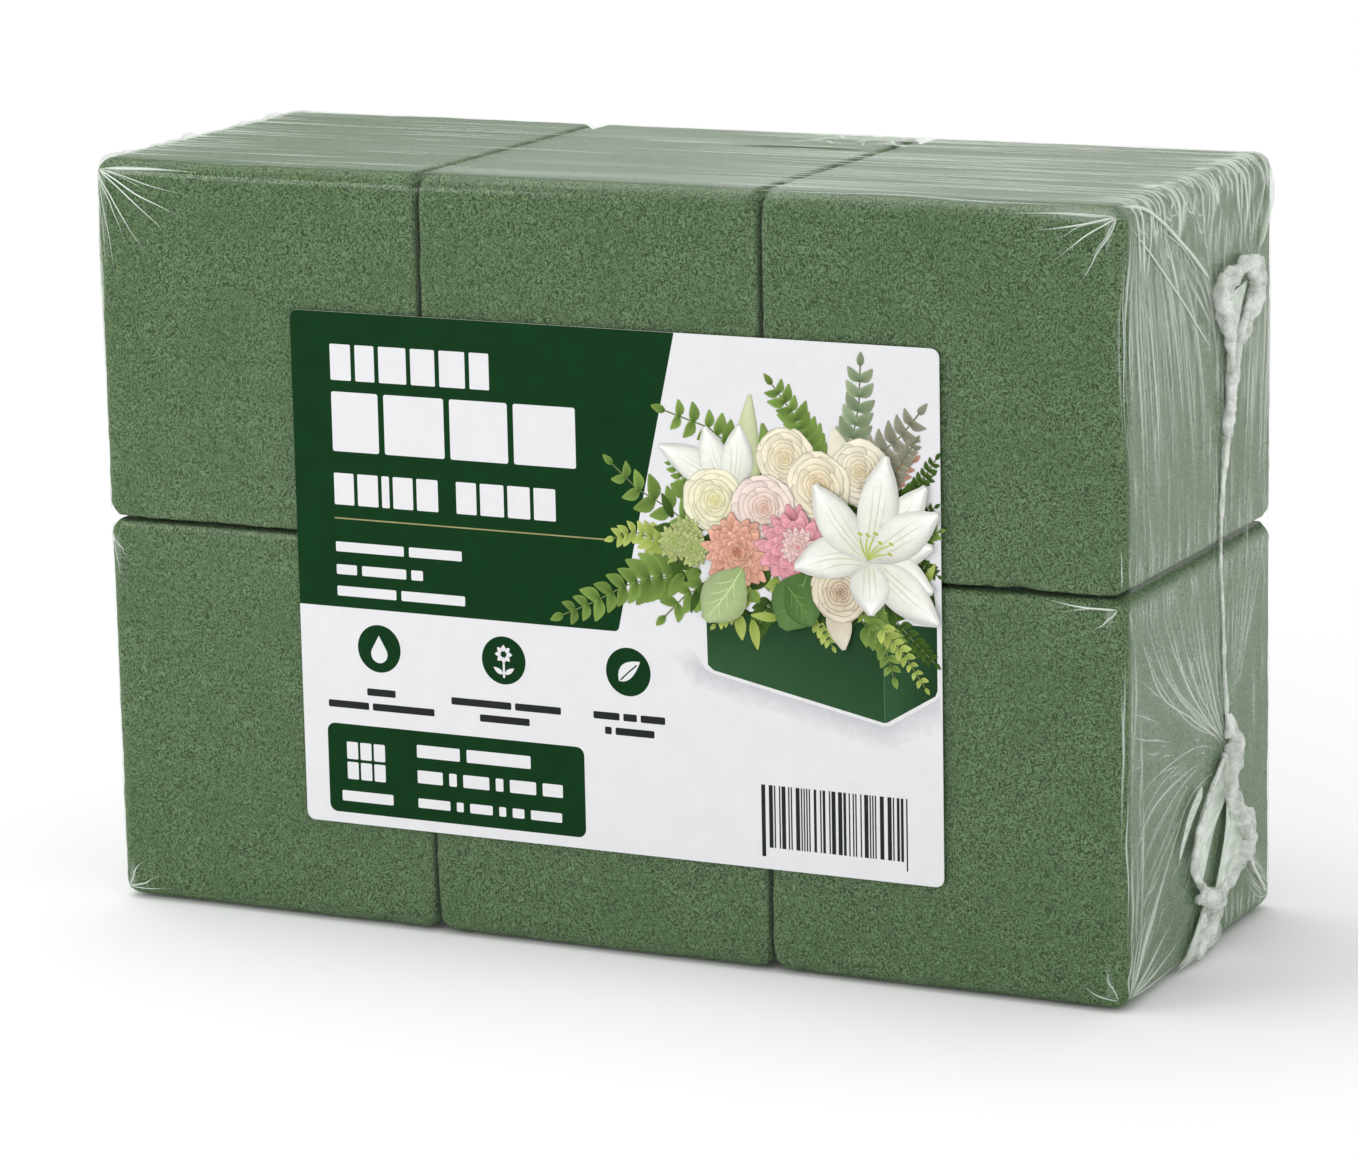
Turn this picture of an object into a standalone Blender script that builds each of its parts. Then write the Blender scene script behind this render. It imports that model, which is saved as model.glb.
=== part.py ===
"""A shrink-wrapped pack of floral foam bricks, with its film, gathered end seals, lap seal and label.

Metres, +Z up. X runs along the pack, the labelled front faces -Y, and the origin is the middle of the
underside, on the surface that the pack stands on.
"""

import math

import bmesh
import bpy
from mathutils import Vector

# Foam bricks: three across in two rows, one deep.
COLUMNS = ("left", "middle", "right")
BRICK_WIDTH = 0.0957
BRICK_DEPTH = 0.1063
LOWER_BRICK_HEIGHT = 0.1032
UPPER_BRICK_HEIGHT = 0.0953
BRICK_EDGE_RADIUS = 0.004

# Film: a tube shrunk round the bricks and welded across both ends.
FILM_THICKNESS = 0.0003
VENT_RADIUS = 0.0015
VENT_SPACING = 0.055

# Gathered end seals: beads of melted film that lie on the ends.
BEAD_RADIUS = 0.0013
KNOT_RADIUS = 0.0033
BEAD_SIDES = 10
BEAD_STEPS_PER_SPAN = 5

# Lap seal along the back, and the label on the front.
LAP_WIDTH = 0.009
LAP_THICKNESS = 0.0003
LAP_HEIGHT_SHARE = 0.42
LABEL_WIDTH = 0.1814
LABEL_HEIGHT = 0.1353
LABEL_THICKNESS = 0.0003
LABEL_CORNER_RADIUS = 0.0022
LABEL_SHIFT = 0.0059
LABEL_LIFT = 0.0278

# Fits
CLEARANCE = 0.0003
ARC_SEGMENTS = 4

# Worked out from the values above.
COLUMN_PITCH = BRICK_WIDTH + CLEARANCE
STACK_WIDTH = COLUMN_PITCH * len(COLUMNS) - CLEARANCE
STACK_HEIGHT = LOWER_BRICK_HEIGHT + CLEARANCE + UPPER_BRICK_HEIGHT
FILM_INSIDE = Vector((STACK_WIDTH, BRICK_DEPTH, STACK_HEIGHT)) + Vector((2, 2, 2)) * CLEARANCE
FILM_OUTSIDE = FILM_INSIDE + Vector((2, 2, 2)) * FILM_THICKNESS
FILM_CENTRE = Vector((0, 0, FILM_OUTSIDE.z / 2))
FILM_INSIDE_RADIUS = BRICK_EDGE_RADIUS + CLEARANCE
FILM_OUTSIDE_RADIUS = FILM_INSIDE_RADIUS + FILM_THICKNESS
STACK_BASE = FILM_THICKNESS + CLEARANCE

# Each bead runs through (share of the end's depth from its middle, share of its height, radius).
RIGHT_BEAD = (
    (0.19, 0.79, KNOT_RADIUS),
    (0.13, 0.70, 0.0022),
    (0.10, 0.62, BEAD_RADIUS),
    (0.11, 0.50, BEAD_RADIUS),
    (0.14, 0.39, BEAD_RADIUS),
    (0.15, 0.30, 0.0018),
    (0.16, 0.23, KNOT_RADIUS),
    (0.20, 0.15, 0.0022),
    (0.15, 0.08, 0.0026),
)
RIGHT_BRANCHES = (
    ((0.19, 0.79, 0.0026), (0.09, 0.82, 0.0020), (0.06, 0.87, 0.0028)),
    ((0.19, 0.79, 0.0026), (0.27, 0.82, 0.0020), (0.30, 0.86, 0.0028)),
    ((0.16, 0.23, 0.0024), (0.02, 0.17, BEAD_RADIUS), (0.00, 0.09, 0.0024), (-0.04, 0.04, BEAD_RADIUS)),
)
LEFT_BEAD = (
    (0.05, 0.88, 0.0024),
    (0.02, 0.80, KNOT_RADIUS),
    (-0.01, 0.70, BEAD_RADIUS),
    (-0.03, 0.56, BEAD_RADIUS),
    (0.00, 0.44, 0.0020),
    (0.03, 0.33, BEAD_RADIUS),
    (0.02, 0.22, BEAD_RADIUS),
    (0.00, 0.13, KNOT_RADIUS),
    (-0.04, 0.06, 0.0018),
)
LEFT_BRANCHES = (
    ((0.02, 0.80, 0.0024), (-0.07, 0.84, 0.0018), (-0.10, 0.89, 0.0022)),
    ((0.00, 0.13, 0.0024), (0.10, 0.10, 0.0018), (0.14, 0.05, BEAD_RADIUS)),
)


def clear_scene():
    for item in list(bpy.data.objects):
        bpy.data.objects.remove(item, do_unlink=True)


def material(name, colour, roughness, alpha=1.0):
    made = bpy.data.materials.new(name)
    made.use_nodes = True
    shader = made.node_tree.nodes["Principled BSDF"]
    shader.inputs["Base Color"].default_value = (*colour, 1.0)
    shader.inputs["Roughness"].default_value = roughness
    shader.inputs["Metallic"].default_value = 0.0
    shader.inputs["Alpha"].default_value = alpha
    return made


def add_object(name, mesh, finish=None, place=(0, 0, 0)):
    made = bpy.data.objects.new(name, mesh)
    made.location = place
    bpy.context.scene.collection.objects.link(made)
    if finish:
        mesh.materials.append(finish)
    return made


def make_cutter(item):
    item.hide_render = True
    item.display_type = "WIRE"
    return item


def combine(item, tool, operation):
    step = item.modifiers.new(tool.name, "BOOLEAN")
    step.operation = operation
    step.solver = "EXACT"
    step.object = tool


def block_mesh(name, size):
    shape = bmesh.new()
    bmesh.ops.create_cube(shape, size=1.0)
    bmesh.ops.scale(shape, vec=size, verts=shape.verts)
    mesh = bpy.data.meshes.new(name)
    shape.to_mesh(mesh)
    shape.free()
    return mesh


def rounded_block(name, size, place, radius, finish=None):
    """A block with every edge rounded to the same radius."""
    block = add_object(name, block_mesh(name, size), finish, place)
    rounding = block.modifiers.new("rounding", "BEVEL")
    rounding.width = radius
    rounding.segments = ARC_SEGMENTS
    rounding.limit_method = "NONE"
    return block


def make_bricks(foam):
    rows = (
        ("lower", STACK_BASE, LOWER_BRICK_HEIGHT),
        ("upper", STACK_BASE + LOWER_BRICK_HEIGHT + CLEARANCE, UPPER_BRICK_HEIGHT),
    )
    middle = (len(COLUMNS) - 1) / 2
    for row, base, height in rows:
        for index, column in enumerate(COLUMNS):
            place = ((index - middle) * COLUMN_PITCH, 0, base + height / 2)
            size = (BRICK_WIDTH, BRICK_DEPTH, height)
            rounded_block(f"brick_{row}_{column}", size, place, BRICK_EDGE_RADIUS, foam)


def make_film(finish):
    """A thin closed skin, hollow inside and pierced by two small vents at each end."""
    film = rounded_block("shrink_film", FILM_OUTSIDE, FILM_CENTRE, FILM_OUTSIDE_RADIUS, finish)
    hollow = rounded_block("film_hollow", FILM_INSIDE, FILM_CENTRE, FILM_INSIDE_RADIUS)
    combine(film, make_cutter(hollow), "DIFFERENCE")
    for end in (-1, 1):
        for side in (-1, 1):
            shape = bmesh.new()
            bmesh.ops.create_cone(
                shape,
                cap_ends=True,
                segments=16,
                radius1=VENT_RADIUS,
                radius2=VENT_RADIUS,
                depth=FILM_THICKNESS * 8,
            )
            mesh = bpy.data.meshes.new("film_vent")
            shape.to_mesh(mesh)
            shape.free()
            across = Vector((end * (FILM_OUTSIDE.x - FILM_THICKNESS) / 2, side * VENT_SPACING / 2, 0))
            vent = add_object("film_vent", mesh, place=FILM_CENTRE + across)
            vent.rotation_euler = (0, math.pi / 2, 0)
            combine(film, make_cutter(vent), "DIFFERENCE")


def smooth_between(before, start, end, after, share):
    """A Catmull-Rom step from start to end, for points or single numbers."""
    turn = (end - before) * share
    turn += (before * 2 - start * 5 + end * 4 - after) * share**2
    turn += (start * 3 - before - end * 3 + after) * share**3
    return start + turn * 0.5


def bead_points(stations, end):
    """Centres and radii along a bead that lies on an end of the film, just clear of it."""
    face = FILM_OUTSIDE.x / 2 + CLEARANCE
    held = []
    for depth_share, height_share, radius in stations:
        held.append(Vector((radius, depth_share * FILM_OUTSIDE.y, height_share * FILM_OUTSIDE.z)))
    held = [held[0] * 2 - held[1], *held, held[-1] * 2 - held[-2]]
    centres = []
    for index in range(1, len(held) - 2):
        for step in range(BEAD_STEPS_PER_SPAN):
            centres.append(smooth_between(*held[index - 1 : index + 3], step / BEAD_STEPS_PER_SPAN))
    centres.append(held[-2])
    radii = [max(point.x, BEAD_RADIUS * 0.8) for point in centres]
    placed = [Vector((end * (face + radius), point.y, point.z)) for point, radius in zip(centres, radii)]
    return placed, radii


def bead_mesh(name, stations, end):
    """A tube of changing radius with rounded tips."""
    centres, radii = bead_points(stations, end)
    shape = bmesh.new()
    rings = []
    last = len(centres) - 1
    for index, (centre, radius) in enumerate(zip(centres, radii)):
        along = (centres[min(index + 1, last)] - centres[max(index - 1, 0)]).normalized()
        side = along.cross(Vector((1, 0, 0))).normalized()
        out = side.cross(along)
        if index in (0, last):
            radius *= 0.6
        ring = []
        for corner in range(BEAD_SIDES):
            angle = math.tau * corner / BEAD_SIDES
            ring.append(shape.verts.new(centre + (side * math.cos(angle) + out * math.sin(angle)) * radius))
        rings.append(ring)
    for ring, following in zip(rings, rings[1:]):
        for corner in range(BEAD_SIDES):
            neighbour = (corner + 1) % BEAD_SIDES
            shape.faces.new((ring[corner], ring[neighbour], following[neighbour], following[corner]))
    for ring, tip in ((rings[0], centres[0] * 2 - centres[1]), (rings[-1], centres[-1] * 2 - centres[-2])):
        middle = sum((corner.co for corner in ring), Vector()) / BEAD_SIDES
        reach = (tip - middle).normalized() * (ring[0].co - middle).length * 0.8
        apex = shape.verts.new(middle + reach)
        for corner in range(BEAD_SIDES):
            shape.faces.new((ring[corner], ring[(corner + 1) % BEAD_SIDES], apex))
    bmesh.ops.recalc_face_normals(shape, faces=shape.faces)
    mesh = bpy.data.meshes.new(name)
    shape.to_mesh(mesh)
    shape.free()
    mesh.shade_smooth()
    return mesh


def make_end_seal(name, bead, branches, end, finish):
    seal = add_object(name, bead_mesh(name, bead, end), finish)
    for index, stations in enumerate(branches):
        branch_name = f"{name}_branch_{index + 1}"
        branch = add_object(branch_name, bead_mesh(branch_name, stations, end))
        combine(seal, make_cutter(branch), "UNION")


def make_lap_seal(finish):
    """A flat welded strip along the back film, between its round corners."""
    size = (FILM_OUTSIDE.x - 2 * FILM_OUTSIDE_RADIUS, LAP_THICKNESS, LAP_WIDTH)
    back = FILM_OUTSIDE.y / 2 + CLEARANCE + LAP_THICKNESS / 2
    place = (0, back, FILM_OUTSIDE.z * LAP_HEIGHT_SHARE)
    add_object("back_lap_seal", block_mesh("back_lap_seal", size), finish, place)


def make_label(finish):
    """A flat sticker with round corners, clear of the front film by the fit."""
    shape = bmesh.new()
    half = Vector((LABEL_WIDTH / 2 - LABEL_CORNER_RADIUS, LABEL_HEIGHT / 2 - LABEL_CORNER_RADIUS))
    outline = []
    for quarter, (across, up) in enumerate(((1, 1), (-1, 1), (-1, -1), (1, -1))):
        for step in range(ARC_SEGMENTS + 1):
            angle = math.pi / 2 * (quarter + step / ARC_SEGMENTS)
            x = across * half.x + LABEL_CORNER_RADIUS * math.cos(angle)
            z = up * half.y + LABEL_CORNER_RADIUS * math.sin(angle)
            outline.append(shape.verts.new((x, -LABEL_THICKNESS / 2, z)))
    face = shape.faces.new(outline)
    pushed = bmesh.ops.extrude_face_region(shape, geom=[face])
    moved = [part for part in pushed["geom"] if isinstance(part, bmesh.types.BMVert)]
    bmesh.ops.translate(shape, vec=(0, LABEL_THICKNESS, 0), verts=moved)
    bmesh.ops.recalc_face_normals(shape, faces=shape.faces)
    mesh = bpy.data.meshes.new("front_label")
    shape.to_mesh(mesh)
    shape.free()
    front = -(FILM_OUTSIDE.y / 2 + CLEARANCE + LABEL_THICKNESS / 2)
    add_object("front_label", mesh, finish, (LABEL_SHIFT, front, LABEL_LIFT + LABEL_HEIGHT / 2))


def main():
    clear_scene()
    foam = material("green_foam", (0.105, 0.168, 0.088), 0.95)
    film = material("clear_film", (0.72, 0.76, 0.74), 0.2, alpha=0.3)
    weld = material("melted_film", (0.68, 0.72, 0.68), 0.3)
    paper = material("label_paper", (0.8, 0.8, 0.81), 0.45)
    make_bricks(foam)
    make_film(film)
    make_end_seal("end_seal_right", RIGHT_BEAD, RIGHT_BRANCHES, 1, weld)
    make_end_seal("end_seal_left", LEFT_BEAD, LEFT_BRANCHES, -1, weld)
    make_lap_seal(weld)
    make_label(paper)


main()
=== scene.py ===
"""The looks of a shrink-wrapped pack of floral foam bricks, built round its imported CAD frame.

Metres, +Z up. The labelled front faces -Y, and the pack stands on the floor at Z 0.
"""

import math
import random

import bpy
import numpy as np
from mathutils import Matrix, Vector, kdtree, noise


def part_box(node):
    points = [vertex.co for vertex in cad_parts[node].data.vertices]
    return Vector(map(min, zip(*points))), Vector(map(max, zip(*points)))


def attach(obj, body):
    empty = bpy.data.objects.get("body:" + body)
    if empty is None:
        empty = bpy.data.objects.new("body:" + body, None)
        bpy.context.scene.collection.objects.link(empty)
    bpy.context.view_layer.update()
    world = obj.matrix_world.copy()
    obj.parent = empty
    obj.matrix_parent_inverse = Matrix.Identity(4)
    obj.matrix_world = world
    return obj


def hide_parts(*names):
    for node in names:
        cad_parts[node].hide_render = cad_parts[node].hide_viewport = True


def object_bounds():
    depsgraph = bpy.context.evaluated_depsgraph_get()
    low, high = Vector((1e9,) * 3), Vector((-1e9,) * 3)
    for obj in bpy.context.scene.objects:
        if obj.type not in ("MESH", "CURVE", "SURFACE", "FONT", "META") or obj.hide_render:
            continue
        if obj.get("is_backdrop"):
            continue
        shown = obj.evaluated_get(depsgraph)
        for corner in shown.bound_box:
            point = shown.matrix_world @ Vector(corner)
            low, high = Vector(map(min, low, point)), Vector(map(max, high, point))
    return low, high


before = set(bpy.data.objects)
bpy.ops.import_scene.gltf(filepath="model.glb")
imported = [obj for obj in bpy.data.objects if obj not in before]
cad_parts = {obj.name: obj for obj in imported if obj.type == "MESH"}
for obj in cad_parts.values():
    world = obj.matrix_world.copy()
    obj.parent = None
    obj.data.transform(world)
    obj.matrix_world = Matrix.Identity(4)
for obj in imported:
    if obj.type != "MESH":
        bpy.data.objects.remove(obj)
cad_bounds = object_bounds()

MM = 0.001
BODY = "root"
ROWS = "upper", "lower"
COLUMNS = "left", "middle", "right"
BRICKS = tuple(f"brick_{row}_{column}" for row in ROWS for column in COLUMNS)

FILM_LOW, FILM_HIGH = (np.array(corner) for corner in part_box("shrink_film"))
FILM_RADIUS = 4.6 * MM
FILM_SIZE = FILM_HIGH - FILM_LOW
LABEL_LOW, LABEL_HIGH = (np.array(corner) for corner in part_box("front_label"))
ROW_SEAM = (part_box("brick_lower_left")[1][2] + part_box("brick_upper_left")[0][2]) / 2
COLUMN_SEAMS = [
    (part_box("brick_lower_left")[1][0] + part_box("brick_lower_middle")[0][0]) / 2,
    (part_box("brick_lower_middle")[1][0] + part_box("brick_lower_right")[0][0]) / 2,
]


# ---------------------------------------------------------------- finishes

FOAM_DARK = (0.026, 0.058, 0.018)
FOAM_MID = (0.06, 0.12, 0.045)
FOAM_LIGHT = (0.155, 0.25, 0.12)
# Paler crumbled edges, partly a painted highlight where the edges catch the light.
FOAM_WORN_AND_HIGHLIGHT = (0.2, 0.28, 0.15)
FOAM_PIT = (0.016, 0.036, 0.012)
BEAD_CLEAR = (0.76, 0.8, 0.75)
BEAD_MILKY = (0.92, 0.95, 0.9)
# The film's milk-white, which also paints the highlights on folds and streaks.
FILM_MILK_AND_HIGHLIGHT = (0.84, 0.92, 0.83)
FILM_SHEEN = (0.95, 1, 0.94)
FILM_GLOSS = 0.02
FILM_SLANT = 0.74
FILM_STEEPEST = 0.8
PAPER_WHITE = (0.745, 0.745, 0.765)
PANEL_GREEN = (0.0045, 0.037, 0.0095)
CAPTION_BLACK = (0.02, 0.024, 0.022)
RULE_GOLD = (0.34, 0.3, 0.15)
PRINT_SHADE = (0.86, 0.86, 0.84)

# How far the swirls in the foam bend its fibres, and grain sizes in waves to a metre.
SWIRL_REACH = 3.5 * MM
SWIRL_WAVES = 330.0
FIBRE_WAVES = 2750.0
CROSSING_WAVES = 2950.0
PORE_WAVES = 1900.0
CLUMP_WAVES = 1250.0
CLOUD_WAVES = 55.0
FILM_WAVES = 140.0
BEAD_WAVES = 260.0
GLAZE_WAVES = 420.0
INK_WAVES = 160.0
PAPER_WAVES = 900.0
PRINT_WAVES = 420.0


class Value:
    """A socket of a finish; arithmetic on it adds Math nodes."""

    def __init__(self, finish, socket):
        self.finish = finish
        self.socket = socket

    def maths(self, operation, *terms):
        return self.finish.node("ShaderNodeMath", {"operation": operation}, dict(enumerate(terms)))

    def __add__(self, other):
        return self.maths("ADD", self, other)

    __radd__ = __add__

    def __rsub__(self, other):
        return self.maths("SUBTRACT", other, self)

    def __mul__(self, other):
        return self.maths("MULTIPLY", self, other)

    def __pow__(self, power):
        return self.maths("POWER", self, power)

    def between(self, low, high, start=0.0, end=1.0):
        """This value eased from start at low to end at high."""
        inputs = {"Value": self, "From Min": low, "From Max": high, "To Min": start, "To Max": end}
        return self.finish.node("ShaderNodeMapRange", {"interpolation_type": "SMOOTHSTEP"}, inputs)


class Finish:
    """A material in the making, on a Principled shader."""

    def __init__(self, name, colour, roughness, **constants):
        self.material = bpy.data.materials.new(name)
        self.material.use_nodes = True
        self.tree = self.material.node_tree
        self.shader = self.tree.nodes["Principled BSDF"]
        self.output = self.tree.nodes["Material Output"]
        self.shader.inputs["Base Color"].default_value = (*colour, 1.0)
        self.shader.inputs["Roughness"].default_value = roughness
        for socket, value in constants.items():
            self.shader.inputs[socket.replace("_", " ")].default_value = value

    def node(self, kind, settings=None, inputs=None, output=0):
        """Adds a node, sets it up, then fills its sockets with values or links."""
        made = self.tree.nodes.new(kind)
        for setting, value in (settings or {}).items():
            setattr(made, setting, value)
        for socket, value in (inputs or {}).items():
            self.link(made.inputs[socket], value)
        return Value(self, made.outputs[output])

    def link(self, socket, value):
        if isinstance(value, Value):
            self.tree.links.new(value.socket, socket)
        else:
            socket.default_value = value

    def feed(self, name, value):
        self.link(self.shader.inputs[name], value)

    def places(self):
        return self.node("ShaderNodeTexCoord", output="Object")

    def stretched(self, places, scale, turn):
        inputs = {"Vector": places, "Scale": scale, "Rotation": turn}
        return self.node("ShaderNodeMapping", inputs=inputs)

    def grain(self, places, waves, detail=2.0, roughness=0.5, output=0):
        """Noise with the given number of waves to a metre."""
        inputs = {"Vector": places, "Scale": waves, "Detail": detail, "Roughness": roughness}
        return self.node("ShaderNodeTexNoise", inputs=inputs, output=output)

    def reading(self, attribute, output="Fac"):
        return self.node("ShaderNodeAttribute", {"attribute_name": attribute}, output=output)

    def mixed(self, share, first, second, blend="MIX"):
        settings = {"data_type": "RGBA", "blend_type": blend}
        return self.node("ShaderNodeMix", settings, {"Factor": share, 6: first, 7: second}, output=2)

    def blended(self, share, first, second):
        """The share of the second shader mixed into the first."""
        return self.node("ShaderNodeMixShader", inputs={0: share, 1: first, 2: second})

    def own(self):
        """What the Principled shader gives."""
        return Value(self, self.shader.outputs[0])

    def show(self, shader):
        self.link(self.output.inputs["Surface"], shader)

    def bump(self, height, depth, strength=1.0):
        inputs = {"Height": height, "Distance": depth, "Strength": strength}
        return self.node("ShaderNodeBump", inputs=inputs)


def solid(colour):
    return (*colour, 1.0)


def foam_finish():
    """Dry open-cell foam: fine swirled fibres, pin-sized pores and paler crumbled edges, their paleness
    partly a painted highlight.
    """
    finish = Finish("green_floral_foam", FOAM_MID, 0.95, Specular_IOR_Level=0.15)
    places = finish.places()
    swirl = finish.grain(places, SWIRL_WAVES, 1.0, output="Color")
    bent = finish.node(
        "ShaderNodeVectorMath",
        {"operation": "MULTIPLY_ADD"},
        {0: swirl, 1: (SWIRL_REACH, SWIRL_REACH, SWIRL_REACH), 2: places},
    )
    rising = finish.stretched(bent, (1.0, 1.0, 0.6), (0, 0.6, 0))
    lying = finish.stretched(bent, (0.6, 1.0, 1.0), (0, 0.5, 0.6))
    fibres = finish.grain(rising, FIBRE_WAVES, 0.0)
    crossing = finish.grain(lying, CROSSING_WAVES, 0.0)
    clumps = finish.grain(bent, CLUMP_WAVES, 0.0)
    cloud = finish.grain(places, CLOUD_WAVES, 3.0)
    pores = finish.node("ShaderNodeTexVoronoi", {"feature": "F1"}, {"Vector": bent, "Scale": PORE_WAVES})
    walls = pores.between(0.05, 0.35)
    weave = fibres * 0.5 + crossing * 0.43 + clumps * 0.07
    colour = finish.mixed(weave.between(0.365, 0.635), solid(FOAM_DARK), solid(FOAM_LIGHT))
    colour = finish.mixed(cloud.between(0.3, 0.75) * 0.35, colour, solid(FOAM_MID))
    colour = finish.mixed((1.0 - walls) * 0.24, colour, solid(FOAM_PIT))
    # Paler at the edges: crumbled foam, partly a painted highlight.
    worn_and_highlight = finish.reading("edge") * weave.between(0.35, 0.6) * 0.38
    finish.feed("Base Color", finish.mixed(worn_and_highlight, colour, solid(FOAM_WORN_AND_HIGHLIGHT)))
    height = weave + walls * 0.35 + cloud * 0.6
    finish.feed("Normal", finish.bump(height, 0.55 * MM, 0.9))
    return finish.material


def film_finish(name):
    """Clear shrink film: it mirrors at a slant, and where hazy and along its folds it turns milk-white,
    which on folds and streaks paints their highlight.

    Above 0 the attribute is the share of milk-white, from hazy film and from a painted highlight on folds
    and streaks; below 0 it takes the mirroring away, down in the seams.
    """
    finish = Finish(name, FILM_MILK_AND_HIGHLIGHT, 0.3, Specular_IOR_Level=0.5)
    haze_and_highlight = finish.reading("haze_and_highlight")
    normal = finish.bump(finish.grain(finish.places(), FILM_WAVES, 3.0, 0.6), 0.35 * MM, 0.35)
    finish.feed("Normal", normal)
    facing = finish.node("ShaderNodeLayerWeight", inputs={"Blend": 0.5}, output="Facing")
    glints = {"Color": solid(FILM_SHEEN), "Roughness": 0.12, "Normal": normal}
    mirror = finish.node("ShaderNodeBsdfAnisotropic", inputs=glints)
    clear = finish.node("ShaderNodeBsdfTransparent")
    slant = facing.maths("MINIMUM", facing, FILM_STEEPEST) ** 5
    dulled = haze_and_highlight.maths("MINIMUM", haze_and_highlight, 0.0) + 1.0
    gloss = (FILM_GLOSS + slant * FILM_SLANT) * dulled
    # Share of milk-white, partly a painted highlight on folds and streaks.
    milk_and_highlight_share = haze_and_highlight.maths("MAXIMUM", haze_and_highlight, 0.0)
    finish.show(finish.blended(milk_and_highlight_share, finish.blended(gloss, clear, mirror), finish.own()))
    return finish.material


def melted_finish():
    """Film melted together into a bead: cloudy, glossy and a little see-through."""
    finish = Finish("melted_film_bead", BEAD_MILKY, 0.16, Specular_IOR_Level=0.8, Coat_Weight=1.0)
    places = finish.places()
    cloudy = finish.grain(places, BEAD_WAVES, 3.0, 0.6)
    colour = finish.mixed(cloudy.between(0.35, 0.65), solid(BEAD_CLEAR), solid(BEAD_MILKY))
    finish.feed("Base Color", colour)
    finish.feed("Normal", finish.bump(finish.grain(places, GLAZE_WAVES, 1.0), 0.3 * MM, 0.5))
    clear = finish.node("ShaderNodeBsdfTransparent")
    finish.show(finish.blended(cloudy.between(0.3, 0.65, 0.34, 0.6), clear, finish.own()))
    return finish.material


def ink_finish(name, colour, roughness=0.42, mottle=0.05):
    """Flat print on coated paper, with the faint mottle of ink."""
    finish = Finish(name, colour, roughness, Specular_IOR_Level=0.05)
    places = finish.places()
    patchy = finish.grain(places, INK_WAVES, 3.0, 0.6)
    darker = tuple(part * (1 - mottle * 2) for part in colour)
    lighter = tuple(part * (1 + mottle) for part in colour)
    finish.feed("Base Color", finish.mixed(patchy.between(0.3, 0.7), solid(darker), solid(lighter)))
    finish.feed("Roughness", patchy.between(0.2, 0.8, roughness - 0.05, roughness + 0.06))
    finish.feed("Normal", finish.bump(finish.grain(places, PAPER_WAVES, 2.0), 0.03 * MM, 0.25))
    return finish.material


def print_finish(name):
    """Colour print whose tones come with the points of the artwork."""
    finish = Finish(name, (0.5, 0.5, 0.5), 0.45, Specular_IOR_Level=0.05)
    places = finish.places()
    tones = finish.reading("tone", "Color")
    patchy = finish.grain(places, PRINT_WAVES, 3.0, 0.6).between(0.3, 0.7)
    dimmed = finish.mixed(patchy * 0.5, tones, solid(PRINT_SHADE), "MULTIPLY")
    finish.feed("Base Color", dimmed)
    finish.feed("Roughness", patchy.between(0.0, 1.0, 0.4, 0.52))
    return finish.material


# ---------------------------------------------------------------- mesh tools


def spaced(low, high, fine, coarse, margin):
    """Places from low to high, fine within margin of both ends and coarse between them."""
    first = np.linspace(low, low + margin, max(2, round(margin / fine)) + 1)
    count = max(1, round((high - low - 2 * margin) / coarse)) + 1
    between = np.linspace(low + margin, high - margin, count)
    return np.concatenate((first, between[1:-1], high + low - first[::-1]))


def denser(line, seams, step=0.7 * MM, reach=5 * MM):
    """The places with closer ones round each seam."""
    kept = [place for place in line if all(abs(place - seam) > reach for seam in seams)]
    close = [seam + offset for seam in seams for offset in np.arange(-reach, reach + step / 2, step)]
    return np.array(sorted(kept + close))


def box_skin(lines):
    """Points and outward faces of a box whose sides are cut along three sets of lines."""
    last = [len(line) - 1 for line in lines]
    index = {}
    faces = []
    for axis in range(3):
        across, up = (axis + 1) % 3, (axis + 2) % 3
        for side in (0, last[axis]):
            for a in range(last[across]):
                for b in range(last[up]):
                    ring = []
                    for step_a, step_b in ((0, 0), (1, 0), (1, 1), (0, 1)):
                        place = [side] * 3
                        place[across] = a + step_a
                        place[up] = b + step_b
                        ring.append(index.setdefault(tuple(place), len(index)))
                    faces.append(ring if side else ring[::-1])
    places = np.array(list(index))
    return np.stack([lines[axis][places[:, axis]] for axis in range(3)], axis=1), faces


def sheet_faces(rows, wide):
    """Faces of a thin sheet: a front grid of points, then a back one, closed round the rim."""
    count = rows * wide
    faces = []
    for row in range(rows - 1):
        for column in range(wide - 1):
            a = row * wide + column
            faces.append((a, a + 1, a + wide + 1, a + wide))
            faces.append((count + a + wide, count + a + wide + 1, count + a + 1, count + a))
    rim = list(range(wide))
    rim += [row * wide + wide - 1 for row in range(1, rows)]
    rim += [(rows - 1) * wide + column for column in range(wide - 2, -1, -1)]
    rim += [row * wide for row in range(rows - 2, 0, -1)]
    faces += [(b, a, count + a, count + b) for a, b in zip(rim, rim[1:] + rim[:1])]
    return faces


def rounded(points, low, high, radius):
    """Points brought to the surface of a block with round edges, and the way out at each."""
    inner = np.clip(points, low + radius, high - radius)
    out = points - inner
    out /= np.maximum(np.linalg.norm(out, axis=1, keepdims=True), 1e-9)
    return inner + out * radius, out


def ripple(points, size, seed=0.0):
    """Smooth noise, about -1 to 1, with waves of the given size."""
    scaled = points / np.asarray(size) + seed * 7.31
    return np.array([noise.noise(Vector(point)) for point in scaled])


def eased(value):
    """A share from 0 to 1 with a soft start and a soft end."""
    value = np.clip(value, 0.0, 1.0)
    return value * value * (3 - 2 * value)


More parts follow.
